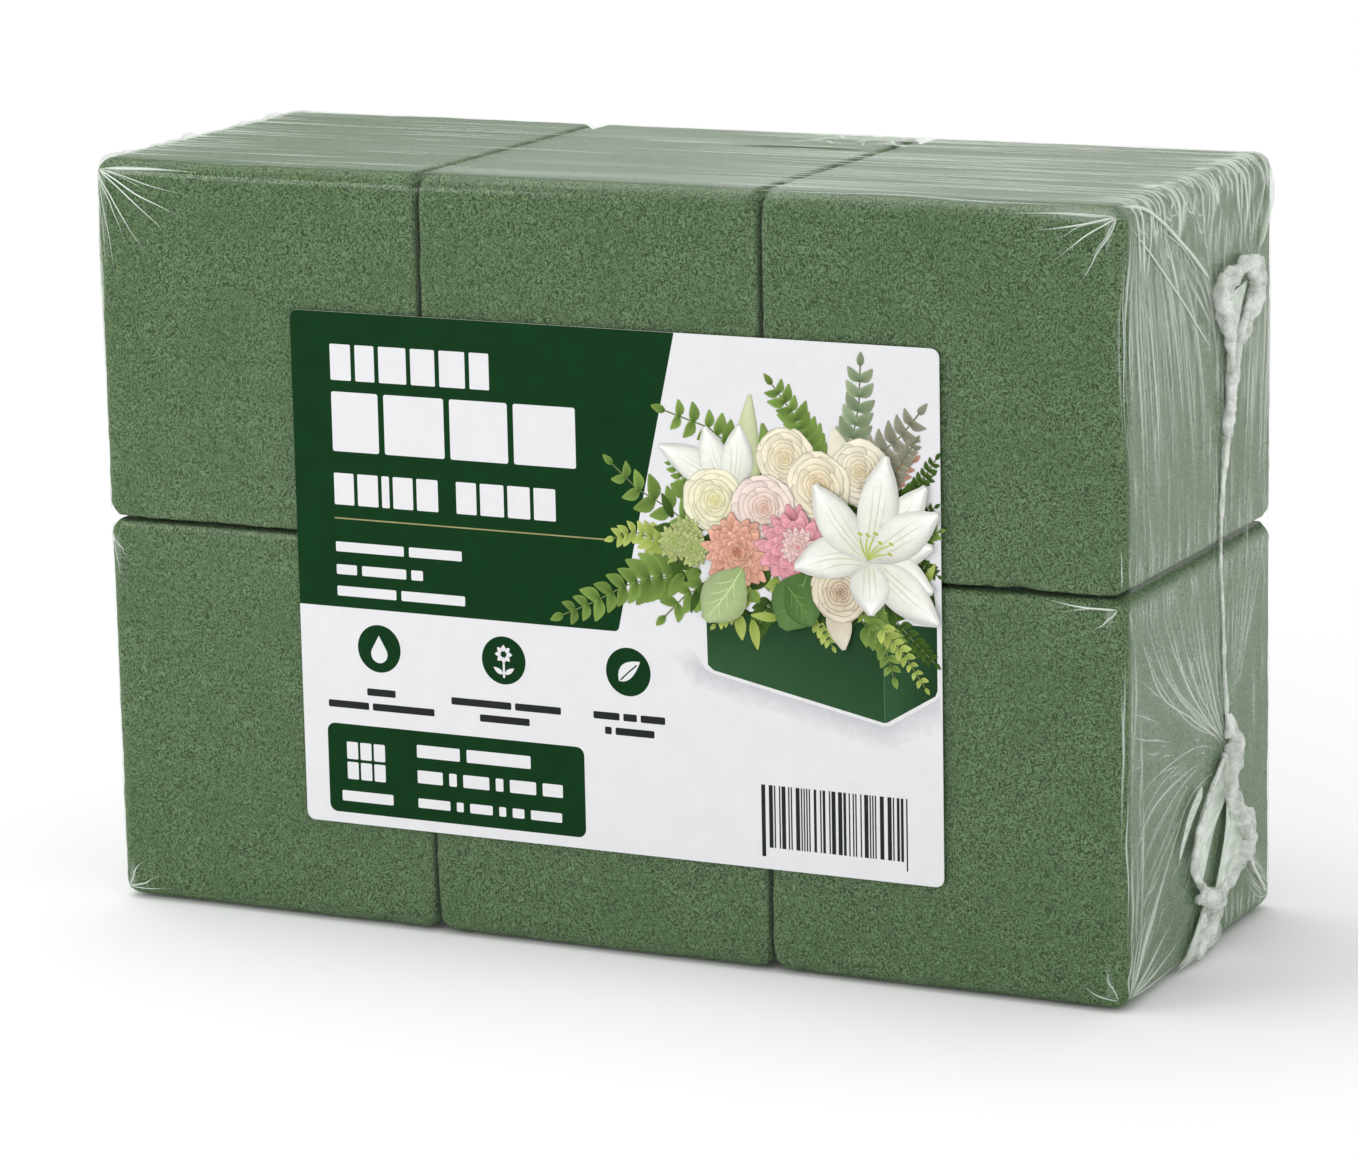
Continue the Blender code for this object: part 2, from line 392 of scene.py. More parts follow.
def piece(name, points, faces, finish, smooth=True, values=None, stands_for=()):
    """Makes a mesh piece that rides on the pack."""
    mesh = bpy.data.meshes.new(name)
    mesh.from_pydata([tuple(point) for point in points], [], faces)
    mesh.materials.append(finish)
    for key, numbers in (values or {}).items():
        numbers = np.asarray(numbers, dtype=np.float32)
        if numbers.ndim == 1:
            mesh.attributes.new(key, "FLOAT", "POINT").data.foreach_set("value", numbers)
        else:
            coloured = np.ones((len(numbers), 4), dtype=np.float32)
            coloured[:, :3] = numbers
            mesh.attributes.new(key, "FLOAT_COLOR", "POINT").data.foreach_set("color", coloured.ravel())
    if smooth:
        mesh.shade_smooth()
    made = bpy.data.objects.new(name, mesh)
    bpy.context.scene.collection.objects.link(made)
    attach(made, BODY)
    if stands_for:
        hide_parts(*stands_for)
    return made


class Gathered:
    """Points, faces and point values collected from many small shapes for one piece."""

    def __init__(self):
        self.points = []
        self.faces = []
        self.values = []

    def add(self, points, faces, value=None):
        """Adds a shape, with no value, one value for all its points or a list of one for each."""
        first = len(self.points)
        self.points.extend(tuple(point) for point in points)
        self.faces.extend([first + corner for corner in face] for face in faces)
        if value is not None:
            one_each = hasattr(value, "__len__") and len(value) == len(points)
            self.values.extend(value if one_each else [value] * len(points))


# ---------------------------------------------------------------- foam bricks

# How far the crumbling reaches in from an edge, and the edge radii: round the pack and along a seam.
EDGE_REACH = 4.2 * MM
BRICK_RADIUS = 4.0 * MM
SEAM_RADIUS = 1.7 * MM
SEAM_DROP = 0.2 * MM
SEAM_REACH = 10 * MM
RIM_REACH = 9 * MM
SMALL_CHIPS = 34
# Bigger chips, as (share along X, front or back, share up), with radius and depth.
NOTABLE_CHIPS = {
    "brick_upper_right": [((0.71, 0, 0.0), 4.4 * MM, 2.4 * MM), ((0.62, 0, 0.005), 3.2 * MM, 1.6 * MM)],
    "brick_lower_left": [((0.84, 0, 0.0), 4.0 * MM, 1.8 * MM), ((0.9, 0, 0.01), 2.4 * MM, 1.3 * MM)],
    "brick_lower_right": [((0.93, 0, 0.99), 3.2 * MM, 1.8 * MM)],
}


def chips_of(name, low, high, draw):
    """Centres, radii and depths of the bites missing from a brick's edges."""
    found = []
    for _ in range(SMALL_CHIPS):
        place = [draw.random() for _ in range(3)]
        along = draw.randrange(3)
        for axis in range(3):
            if axis != along:
                place[axis] = float(draw.randrange(2))
        found.append((place, draw.uniform(1.2, 3.4) * MM, draw.uniform(0.15, 0.55) * MM))
    found += NOTABLE_CHIPS.get(name, [])
    return [(low + np.array(place) * (high - low), radius, depth) for place, radius, depth in found]


def touching_sides(name):
    """For X and Z, whether a brick meets another below and above."""
    row, column = name.split("_")[1:]
    across = {"left": (0, 1), "middle": (1, 1), "right": (1, 0)}[column]
    return (0, across), (2, (1, 0) if row == "upper" else (0, 1))


def edge_radii(name, points, low, high):
    """Edge radius at each point: wide round the pack, tighter along the seams between bricks."""
    seam, rim = np.zeros(len(points)), np.zeros(len(points))
    for axis, touching in touching_sides(name):
        distances = points[:, axis] - low[axis], high[axis] - points[:, axis]
        for touches, distance in zip(touching, distances):
            if touches:
                seam = np.maximum(seam, eased(1 - distance / SEAM_REACH))
            else:
                rim = np.maximum(rim, eased(1 - distance / RIM_REACH))
    return BRICK_RADIUS + (SEAM_RADIUS - BRICK_RADIUS) * seam * (1 - rim)


def make_brick(name, seed, finish):
    """One brick, slightly uneven all over, with crumbled edges and chips."""
    low, high = (np.array(corner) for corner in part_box(name))
    lines = [spaced(low[axis], high[axis], 0.62 * MM, 2.6 * MM, 7 * MM) for axis in range(3)]
    raw, faces = box_skin(lines)
    points, out = rounded(raw, low, high, edge_radii(name, raw, low, high)[:, None])
    reach = np.sort(np.minimum(raw - low, high - raw), axis=1)
    edge = eased(1 - reach[:, 1] / EDGE_REACH)
    swell = ripple(points, 17 * MM, seed) * 0.16 * MM + ripple(points, 6 * MM, seed + 1) * 0.07 * MM
    crumbs = ripple(points, 2.6 * MM, seed + 2) * 0.3 * MM + ripple(points, 1.2 * MM, seed + 3) * 0.26 * MM
    drop = 0.12 * MM - swell + edge * (0.14 * MM - crumbs)
    for axis, touching in touching_sides(name):
        for touches, way in zip(touching, (-1, 1)):
            drop += touches * SEAM_DROP * np.maximum(out[:, axis] * way, 0)
    for centre, radius, depth in chips_of(name, low, high, random.Random(seed)):
        bite = eased(1 - np.linalg.norm(points - centre, axis=1) / radius)
        drop += bite * depth * (1 + 1.4 * crumbs / MM)
    points = points - out * np.maximum(drop, 0)[:, None]
    foam_name = name.replace("brick", "foam")
    piece(foam_name, points, faces, finish, values={"edge": edge}, stands_for=[name])


# ---------------------------------------------------------------- film

# The film where it lies on the foam, and how far a fold may stray, as a share of the end.
FILM_REST = FILM_LOW + 0.42 * MM, FILM_HIGH - 0.42 * MM
WANDER = 0.014
# The slack lens-shaped gap on the top, where the foam shows clearly: its middle and half lengths.
GAP_PLACE = FILM_LOW[0] + 0.593 * FILM_SIZE[0], FILM_LOW[1] + 0.69 * FILM_SIZE[1]
GAP_SIZE = 13 * MM, 2.6 * MM
# The creases beside it: depth, first and last height, milk, which paints their highlight.
GAP_CREASES = (
    (0.715, 1.48, 1.68, 0.4),
    (0.665, 1.5, 1.66, 0.35),
    (0.7, 1.66, 1.86, 0.3),
    (0.64, 1.42, 1.6, 0.25),
)


def film_places(end, depth, height):
    """Places on the squared-off film round one end, from shares of its depth and height.

    Depth below 0 or above 1 runs on over the front or back, and height above 1 over the top.
    """
    low, high = FILM_REST
    size = high - low
    over = np.maximum(-depth, 0) + np.maximum(depth - 1, 0)
    inwards = over * size[1] + np.maximum(height - 1, 0) * size[2]
    x = high[0] - inwards if end > 0 else low[0] + inwards
    y = low[1] + np.clip(depth, 0, 1) * size[1]
    z = low[2] + np.clip(height, 0, 1) * size[2]
    return np.stack((x, y, z), axis=1)


def smooth_line(points, steps):
    """Evenly numbered places on a smooth line through the points."""
    points = np.array(points, float)
    if len(points) < 3:
        return points[0] + (points[-1] - points[0]) * np.linspace(0, 1, steps)[:, None]
    ahead = np.gradient(points, axis=0)
    place = np.linspace(0, len(points) - 1, steps)
    first = np.minimum(place.astype(int), len(points) - 2)
    t = (place - first)[:, None]
    a, b, slope_a, slope_b = points[first], points[first + 1], ahead[first], ahead[first + 1]
    bow = slope_a * (t - 2 * t**2 + t**3) + slope_b * (t**3 - t**2)
    return a * (1 - 3 * t**2 + 2 * t**3) + b * (3 * t**2 - 2 * t**3) + bow


class Folds(Gathered):
    """Sharp folds of the film, gathered with the milkiness of every point, which paints the highlight along
    each ridge.
    """

    # Across a fold: share of its half width, share of its height.
    SECTION = ((-1.0, -0.1), (-0.38, 0.7), (0.0, 1.0), (0.38, 0.7), (1.0, -0.1), (0.0, -0.35))

    def __init__(self):
        super().__init__()
        self.traces = []
        self.count = 0

    def fold(self, end, points, width, milk_and_highlight, height=None, steps=16, taper=(0.5, 0.5), proud=0.0):
        """One tapered fold through points given as shares of the end's depth and height."""
        line = smooth_line(points, steps)
        share = np.linspace(0, 1, steps)
        self.count += 1
        wander = [noise.noise(Vector((at * 3.1, self.count * 5.7, 0))) for at in share]
        line[:, 0] += np.array(wander) * np.sin(math.pi * share) * WANDER
        raw = film_places(end, line[:, 0], line[:, 1])
        place, out = rounded(raw, *FILM_REST, FILM_RADIUS)
        place = place + out * (proud * np.sin(math.pi * share))[:, None]
        self.run(place, out, width, milk_and_highlight, height, taper)

    def run(self, place, out, width, milk_and_highlight, height=None, taper=(0.5, 0.5)):
        """A tapered fold through places in space, standing in the direction out."""
        steps = len(place)
        share = np.linspace(0, 1, steps)
        ahead = np.gradient(place, axis=0)
        side = np.cross(out, ahead)
        side /= np.maximum(np.linalg.norm(side, axis=1, keepdims=True), 1e-9)
        swell = np.minimum(share / taper[0], 1) * np.minimum((1 - share) / taper[1], 1)
        swell = 0.12 + 0.88 * eased(swell)
        height = width * 0.45 if height is None else height
        rings, tones = [], []
        for across, up in self.SECTION:
            sideways = side * (across * width / 2 * swell)[:, None]
            rings.append(place + sideways + out * (up * height * swell)[:, None])
            # Whitest along the crest, fading to the sides: a painted highlight on the fold.
            tones.append(milk_and_highlight * (0.3 + 0.7 * swell) * (1 - 0.8 * abs(across)))
        wide = len(self.SECTION)
        points = np.stack(rings, axis=1).reshape(-1, 3)
        faces = []
        for row in range(steps - 1):
            for column in range(wide):
                a, b = row * wide + column, row * wide + (column + 1) % wide
                faces.append((b, a, a + wide, b + wide))
        faces.append(tuple(range(wide)))
        faces.append(tuple(range((steps - 1) * wide, steps * wide))[::-1])
        self.add(points, faces, list(np.stack(tones, axis=1).ravel()))
        self.traces += [(tuple(spot), milk_and_highlight * swollen) for spot, swollen in zip(place, swell)]


# Straight folds that meet at the lower front corner: depth and height of the far end, width, milk, which
# paints their highlight.
LOWER_CORNER_FOLDS = (
    (0.3, 0.17, 0.9, 0.55),
    (0.37, 0.2, 0.8, 0.6),
    (0.2, 0.15, 0.6, 0.4),
    (0.34, 0.085, 0.9, 0.5),
    (0.4, 0.05, 0.8, 0.45),
    (0.28, 0.05, 0.6, 0.4),
    (0.42, 0.015, 0.9, 0.45),
    (0.13, 0.12, 0.6, 0.4),
    (0.07, 0.1, 0.6, 0.45),
    (0.25, 0.11, 0.5, 0.35),
)


class EndFolds:
    """The folds drawn together over one end of the pack."""

    def __init__(self, folds, end, draw):
        self.folds = folds
        self.end = end
        self.draw = draw

    def near(self, value, reach):
        return value + self.draw.uniform(-reach, reach)

    def wide(self, low=0.4, high=0.9):
        return self.draw.uniform(low, high)

    def fold(self, points, width, milk_and_highlight, **shape):
        self.folds.fold(self.end, points, width * MM, milk_and_highlight, **shape)

    def fan(self):
        """A long fan from the upper front corner down to the row seam."""
        for step in range(46):
            t = self.near(step / 45, 0.03)
            start, stop = self.draw.uniform(0.0, 0.35), self.draw.uniform(0.45, 1.0)
            upper = [(0.04 + 0.2 * t, 0.985), (0.0 + 0.43 * t, 0.85)]
            line = smooth_line([*upper, (0.02 + 0.5 * t, 0.7), (0.02 + 0.56 * t, 0.545)], 40)
            line = line[int(39 * start * start) : int(39 * stop) + 1]
            if len(line) > 6:
                self.fold(line[::3], self.wide(0.35, 1.0), 0.12 + 0.6 * self.draw.random() ** 2, steps=14)

    def pleats(self):
        """Hooked pleats along the upper edge, which run on over the top."""
        near, draw = self.near, self.draw
        for step in range(22):
            d = near(0.07 + 0.042 * step, 0.02)
            strength = draw.random()
            reach, milk_and_highlight = draw.uniform(0.06, 0.34), 0.3 + 0.6 * strength
            fall = (0.5 + 1.1 * strength) * (1.25 - 0.35 * d)
            lean = draw.uniform(-0.02, 0.03)
            low = (near(d + lean + 0.008, 0.02), 1 - 0.062 * fall)
            upper = [(d, 1 + reach), (near(d, 0.006), 1.045), (d + lean * 0.5 - 0.006, 1.0)]
            pleat = [*upper, (d + lean, 1 - 0.035 * fall), low]
            self.fold(pleat, self.wide(0.45, 1.15), milk_and_highlight, steps=26, taper=(0.5, 0.25))
            if strength > 0.4:
                beside = [(d + 0.03, 1 + reach * 0.5), (d + 0.028, 1.02), (d + 0.045, 1 - 0.02 * fall), low]
                self.fold(beside, self.wide(0.4, 0.8), milk_and_highlight * 0.8, steps=22, taper=(0.5, 0.2))
                middle = (near(d + 0.04, 0.01), 1 - 0.08 * fall)
                tail = [low, middle, (near(d + 0.06, 0.02), 1 - draw.uniform(0.1, 0.15))]
                self.fold(tail, 0.5, milk_and_highlight * 0.6, steps=10)

    def crumples(self):
        """Small bright hooks on that edge, slack loops that hang from it, and crimps above the lobes."""
        near, draw = self.near, self.draw
        for _ in range(36):
            d, h, size = draw.uniform(0.2, 0.97), draw.uniform(0.965, 1.035), draw.uniform(0.01, 0.028)
            turn = draw.choice((-1, 1)) * size
            upper = [(d, h + size), (d + turn * 0.8, h + size * 0.3)]
            hook = [*upper, (d + turn * 0.2, h - size * 0.5), (d - turn * 0.5, h - size)]
            self.fold(hook, self.wide(0.45, 0.9), draw.uniform(0.45, 0.95), steps=12, taper=(0.4, 0.4))
        for _ in range(14):
            d, span, sag = draw.uniform(0.06, 0.5), draw.uniform(0.05, 0.12), draw.uniform(0.03, 0.09)
            low = [(d + span * 0.3, 1 - sag * 0.8), (d + span * 0.65, 1 - sag)]
            loop = [(d, 1.0), *low, (d + span, 0.995 - sag * 0.3)]
            self.fold(loop, self.wide(0.4, 0.8), draw.uniform(0.25, 0.65), steps=16)
        for step in range(13):
            d = 0.56 + 0.028 * step
            h = near(0.955, 0.01)
            upper = [(d, h), (near(d, 0.012), h - 0.02), (near(d, 0.012), h - 0.045)]
            crimp = [*upper, (near(d, 0.012), h - draw.uniform(0.055, 0.08))]
            self.fold(crimp, self.wide(0.5, 0.9), draw.uniform(0.25, 0.5), steps=12)

    def bead_folds(self):
        """Straight folds that run in to the gathered bead, and down beside it."""
        near, draw = self.near, self.draw
        for step in range(11):
            t = step / 10
            middle = (near(0.47 + 0.1 * t, 0.01), near(0.85, 0.01))
            run = [(0.3 + 0.2 * t, 0.93 - 0.02 * t), middle, (0.6 + 0.02 * t, 0.8 - 0.07 * t)]
            self.fold(run, self.wide(), draw.uniform(0.2, 0.45))
        for step in range(12):
            d = near(0.79 + 0.017 * step, 0.006)
            top, foot = draw.uniform(0.8, 0.93), draw.uniform(0.545, 0.66)
            run = [(d + 0.03, top), (d + 0.012, (top + foot) / 2), (d - 0.02, foot)]
            self.fold(run, self.wide(0.4, 1.0), draw.uniform(0.2, 0.5))

    def seam_fringes(self):
        """Short fringes on both sides of the seam between the rows."""
        near, draw = self.near, self.draw
        fringe = {"steps": 9, "taper": (0.2, 0.8)}
        for step in range(46):
            d = near(step / 45, 0.01)
            if draw.random() < 0.75:
                middle = (near(d, 0.008), near(0.56, 0.01))
                rise = [(d, 0.53), middle, (near(d, 0.012), draw.uniform(0.57, 0.63))]
                self.fold(rise, self.wide(0.35, 0.7), draw.uniform(0.12, 0.42), **fringe)
            if draw.random() < 0.8:
                middle = (near(d + 0.004, 0.008), 0.485)
                fall = [(d, 0.505), middle, (near(d + 0.012, 0.012), draw.uniform(0.42, 0.47))]
                self.fold(fall, self.wide(0.35, 0.7), draw.uniform(0.12, 0.42), **fringe)

    def wisps(self):
        """Faint wisps: downwards over the upper row, and towards the knot over the lower one."""
        near, draw = self.near, self.draw
        for _ in range(70):
            d, top, length = draw.random(), draw.uniform(0.62, 0.97), draw.uniform(0.05, 0.2)
            lean = (0.62 - d) * 0.25 * length
            wisp = [(d, top), (near(d + lean, 0.006), top - length / 2), (d + 2 * lean, top - length)]
            self.fold(wisp, self.wide(0.3, 0.7), draw.uniform(0.08, 0.38), steps=10)
        for _ in range(80):
            d, h, pull = draw.random(), draw.uniform(0.03, 0.5), draw.uniform(0.12, 0.4)
            if d > 0.8:
                wisp = [(d, h), (near(d, 0.004), h - 0.05), (near(d, 0.006), max(h - 0.12, 0.005))]
            else:
                middle = (d + (0.65 - d) * pull * 0.5, near(h + (0.26 - h) * pull * 0.6, 0.006))
                wisp = [(d, h), middle, (d + (0.65 - d) * pull, h + (0.26 - h) * pull)]
            self.fold(wisp, self.wide(0.3, 0.7), draw.uniform(0.08, 0.34), steps=10)

    def knot_sweeps(self):
        """Long folds from the seam to the knot, the drape from it, and folds down the front edge."""
        near, draw = self.near, self.draw
        for step in range(17):
            t = step / 16
            start = (0.015 + 0.6 * t, 0.512)
            middle = (near(0.2 + 0.44 * t, 0.012), near(0.395, 0.012))
            late = (near(0.42 + 0.23 * t, 0.01), 0.32)
            sweep = [start, middle, late, (0.655, near(0.262, 0.006))]
            self.fold(sweep, self.wide(), 0.1 + 0.5 * draw.random() ** 2, steps=24, taper=(0.4, 0.15))
        for step in range(7):
            t = step / 6
            sweep = [(0.7 + 0.24 * t, 0.51), (0.71 + 0.12 * t, 0.4), (0.695, 0.3)]
            self.fold(sweep, self.wide(0.4, 0.8), draw.uniform(0.15, 0.35), steps=18)
        for step in range(8):
            t = near(step / 7, 0.06)
            middle = (near(0.42, 0.03), near(0.285, 0.01) - 0.07 * t)
            late = (near(0.14, 0.03) + 0.1 * t, 0.27 - 0.13 * t)
            drape = smooth_line([(0.64, 0.255 - 0.02 * t), middle, late, (0.02, 0.21 - 0.16 * t)], 30)
            drape = drape[draw.randrange(0, 12) :: 3]
            self.fold(drape, self.wide(0.4, 1.0), 0.08 + 0.3 * draw.random(), steps=20, taper=(0.3, 0.5))
        for step in range(10):
            d = 0.006 + 0.012 * step
            top = draw.uniform(0.2, 0.5)
            middle = (near(d, 0.01), top - 0.1)
            fall = [(d, top), middle, (near(d * 0.8, 0.01), max(top - draw.uniform(0.15, 0.3), 0.03))]
            self.fold(fall, self.wide(), draw.uniform(0.15, 0.45), steps=14)

    def lower_corners(self):
        """Straight folds to the lower front corner, and folds between the bead and the lower rear one."""
        near, draw = self.near, self.draw
        for depth, height, width, milk_and_highlight in LOWER_CORNER_FOLDS:
            run = [(0.03, 0.012), (depth * 0.5, height * 0.52), (depth, height)]
            self.fold(run, width, milk_and_highlight, taper=(0.2, 0.6))
        for step in range(8):
            t = step / 7
            run = [(0.78, 0.12 - 0.05 * t), (0.88, 0.075 - 0.045 * t), (0.985, 0.03 - 0.02 * t)]
            self.fold(run, self.wide(), draw.uniform(0.25, 0.5), steps=12)
            d = 0.66 + 0.04 * step
            rise = [(d, 0.005), (near(d, 0.01), 0.03), (near(d, 0.02), draw.uniform(0.04, 0.07))]
            self.fold(rise, 0.6, 0.35, steps=8)

    def strands(self):
        """Taut strands that hold the lobes."""
        main = {"proud": 0.7 * MM, "height": 0.7 * MM, "steps": 26, "taper": (0.08, 0.08)}
        rear = {"proud": 1.0 * MM, "height": 0.8 * MM, "taper": (0.2, 0.3)}
        self.fold([(0.04, 1.012), (0.3, 0.945), (0.56, 0.865)], 0.9, 0.75, **main)
        self.fold([(0.08, 0.99), (0.35, 0.925), (0.565, 0.855)], 0.45, 0.5, proud=0.4 * MM, steps=20)
        low = [(0.03, 0.98), (0.3, 0.88), (0.6, 0.765)]
        self.fold(low, 0.7, 0.5, proud=0.4 * MM, steps=22, taper=(0.2, 0.2))
        self.fold([(0.87, 0.875), (0.93, 0.93), (0.975, 0.985)], 1.2, 0.65, **rear)
        self.fold([(0.84, 0.9), (0.9, 0.945), (0.95, 0.995), (0.96, 1.06)], 0.7, 0.5, taper=(0.2, 0.4))

    def all(self):
        self.fan()
        self.pleats()
        self.crumples()
        self.bead_folds()
        self.seam_fringes()
        self.wisps()
        self.knot_sweeps()
        self.lower_corners()
        self.strands()


def fold_top(folds, end, draw):
    """Streaks that run along the top from one end; the right end has more and stronger ones."""
    count, length, strength = (60, 1.0, 1.0) if end > 0 else (20, 0.8, 0.6)
    for _ in range(count):
        depth = draw.uniform(0.02, 0.98)
        start = 1 + draw.uniform(0, 0.35)
        reach = draw.uniform(0.1, 0.6) * length
        bow = draw.uniform(-0.02, 0.02)
        line = [(depth, start), (depth + bow, start + reach / 2), (depth + bow * 0.4, start + reach)]
        width = draw.uniform(0.9, 2.4) * MM
        folds.fold(end, line, width, draw.uniform(0.08, 0.3) * strength, height=0.14 * MM, steps=14)


# Fine folds that spread over the front and back from a corner: end, corner, far ends, width, milk, which
# paints their highlight.
# Depths below 0 lie on the front, and depths above 1 on the back.
CORNER_FOLDS = (
    (
        -1,
        (-0.008, 0.99),
        (
            (-0.27, 0.925),
            (-0.23, 0.895),
            (-0.16, 0.87),
            (-0.1, 0.88),
            (-0.3, 0.955),
            (-0.075, 0.82),
            (-0.04, 0.84),
            (-0.2, 0.95),
        ),
        0.5,
        0.8,
    ),
    (
        1,
        (-0.01, 0.99),
        ((-0.23, 0.966), (-0.18, 0.925), (-0.12, 0.895), (-0.28, 0.986), (-0.09, 0.93), (-0.2, 0.948)),
        0.5,
        0.62,
    ),
    (1, (-0.015, 0.508), ((-0.2, 0.516), (-0.15, 0.5), (-0.08, 0.48)), 0.5, 0.7),
    (1, (-0.012, 0.012), ((-0.12, 0.035), (-0.06, 0.06)), 0.4, 0.5),
    (-1, (-0.012, 0.012), ((-0.12, 0.035), (-0.08, 0.055), (-0.15, 0.018)), 0.45, 0.75),
    (-1, (-0.012, 0.5), ((-0.07, 0.465), (-0.045, 0.43)), 0.4, 0.5),
    (-1, (1.01, 0.99), ((1.26, 0.94), (1.2, 0.9), (1.13, 0.87), (1.07, 0.84), (1.3, 0.975)), 0.5, 0.7),
    (1, (1.01, 0.99), ((1.24, 0.95), (1.18, 0.91), (1.11, 0.88), (1.29, 0.98)), 0.5, 0.7),
    (-1, (1.01, 0.012), ((1.14, 0.035), (1.08, 0.06), (1.19, 0.018)), 0.45, 0.6),
    (1, (1.01, 0.012), ((1.13, 0.04), (1.07, 0.07)), 0.45, 0.6),
)
# Shine along the upper front edge, painted as milk on a fold: end, first and last depth, width, milk.
EDGE_SHINE = (-1, -0.02, -0.3, 1.1, 0.75), (1, -0.03, -0.26, 0.9, 0.45)


def fold_corners(folds):
    """Fine straight folds that spread from the corners, and the shine along the upper front edge."""
    for end, corner, tips, width, milk_and_highlight in CORNER_FOLDS:
        for number, (depth, height) in enumerate(tips):
            bow = 0.004 if number % 2 else -0.003
            bend = (0.5 * (corner[0] + depth), 0.5 * (corner[1] + height) + bow)
            thin, faint = width * MM * (1.2 - 0.08 * number), milk_and_highlight * (1.1 - 0.09 * number)
            shape = {"height": 0.16 * MM, "steps": 14, "taper": (0.1, 0.6)}
            folds.fold(end, [corner, bend, (depth, height)], thin, faint, **shape)
    for end, start, stop, width, milk_and_highlight in EDGE_SHINE:
        line = [(start, 0.988), ((start + stop) / 2, 0.991), (stop, 0.989)]
        folds.fold(end, line, width * MM, milk_and_highlight, height=0.14 * MM, steps=16, taper=(0.2, 0.7))


def fold_crumples(folds, draw):
    """Short crumpled folds on the top, towards the back of a seam, and the creases of the slack gap."""
    for _ in range(16):
        depth, height, size = draw.uniform(0.78, 0.95), draw.uniform(1.47, 1.62), draw.uniform(0.012, 0.035)
        sway = draw.uniform(-0.03, 0.03)
        upper = [(depth, height - size), (depth + sway, height - size * 0.3)]
        line = [*upper, (depth - sway, height + size * 0.4), (depth + sway * 0.5, height + size)]
        width = draw.uniform(0.6, 1.3) * MM
        folds.fold(1, line, width, draw.uniform(0.3, 0.8), height=0.4 * MM, steps=14)
    for depth, start, stop, milk_and_highlight in GAP_CREASES:
        line = [(depth, start), (depth + 0.012, (start + stop) / 2), (depth, stop)]
        folds.fold(1, line, 0.9 * MM, milk_and_highlight, height=0.3 * MM, steps=18)


def near_seam(places, seam):
    """1 on a seam, fading out within a few millimetres of it."""
    return np.exp(-(((places - seam) / (1.2 * MM)) ** 2))


def film_lift(points, out, folds):
    """How far the film stands off the foam, and how milk-white it is there, which also paints highlight
    streaks on the top and round the folds.
    """
    x, y, z = points.T
    top, ends = np.maximum(out[:, 2], 0), np.abs(out[:, 0])
    back = np.maximum(out[:, 1], 0)
    lengthwise = ripple(points, (70 * MM, 3.2 * MM, 200 * MM), 3)
    fine = ripple(points, (45 * MM, 1.5 * MM, 200 * MM), 4)
    near_end = eased(1 - (FILM_HIGH[0] - np.abs(x)) / (95 * MM)) * np.where(x > 0, 1.0, 0.4)
    streaks = np.maximum(lengthwise + 0.1, 0) ** 1.3 * (0.3 + 0.7 * near_end)
    lift = top * (streaks * 0.22 * MM + np.maximum(fine, 0) * 0.06 * MM * near_end)
    # Painted highlight streaks along the top, and painted glare patches away from the ends, as milk-white
    # film.
    haze_and_highlight = top * (0.05 + streaks * 0.12 + np.maximum(fine, 0) * 0.1 * near_end)
    glare = np.maximum(ripple(points, (60 * MM, 11 * MM, 200 * MM), 14), 0) * (1 - near_end)
    haze_and_highlight += top * glare * 0.3
    gap = eased(1.6 - np.hypot((x - GAP_PLACE[0]) / GAP_SIZE[0], (y - GAP_PLACE[1]) / GAP_SIZE[1]))
    patches = ripple(points, (80 * MM, 26 * MM, 40 * MM), 6) * 0.5 + 0.5
    downward = ripple(points, (80 * MM, 5 * MM, 60 * MM), 8) * 0.5 + 0.5
    haze_and_highlight += ends * (0.03 + 0.11 * patches * downward) * (0.25 + 0.75 * eased(z / (90 * MM)))
    haze_and_highlight += back * 0.03 * patches
    row_seam = near_seam(z, ROW_SEAM) * (ends + np.abs(out[:, 1]))
    column_seam = sum(near_seam(x, seam) for seam in COLUMN_SEAMS) * (top + back)
    tree = kdtree.KDTree(len(folds.traces))
    for number, (place, _) in enumerate(folds.traces):
        tree.insert(place, number)
    tree.balance()
    for number, point in enumerate(points):
        if top[number] + ends[number] + back[number] > 0.05:
            _, nearest, distance = tree.find(point)
            # Milk-white round each fold: a painted highlight.
            close = math.exp(-((distance / (1.9 * MM)) ** 2)) * folds.traces[nearest][1]
            haze_and_highlight[number] += close * 0.3
            lift[number] += close * 0.3 * MM
    swollen = np.maximum(ripple(points, (12 * MM, 5 * MM, 12 * MM), 12) + 0.1, 0)
    puffs = np.maximum(-out[:, 0], 0) * top * 2 * swollen
    lift += puffs * 2.4 * MM
    arc = eased((1 - np.abs(out).max(axis=1)) * 3.4)
    haze_and_highlight -= top * 0.26 * eased((-x - 0.02) / 0.1)
    haze_and_highlight = haze_and_highlight * (1 - gap * top) - 0.85 * gap * top
    haze_and_highlight += puffs * 0.5 - arc * np.where(out[:, 2] > 0.2, 0.0, 0.75)
    sunk = np.maximum(row_seam, column_seam)
    return lift * (1 - sunk) - 0.5 * MM * sunk, np.clip(haze_and_highlight * (1 - sunk) - 0.9 * sunk, -1, 1)


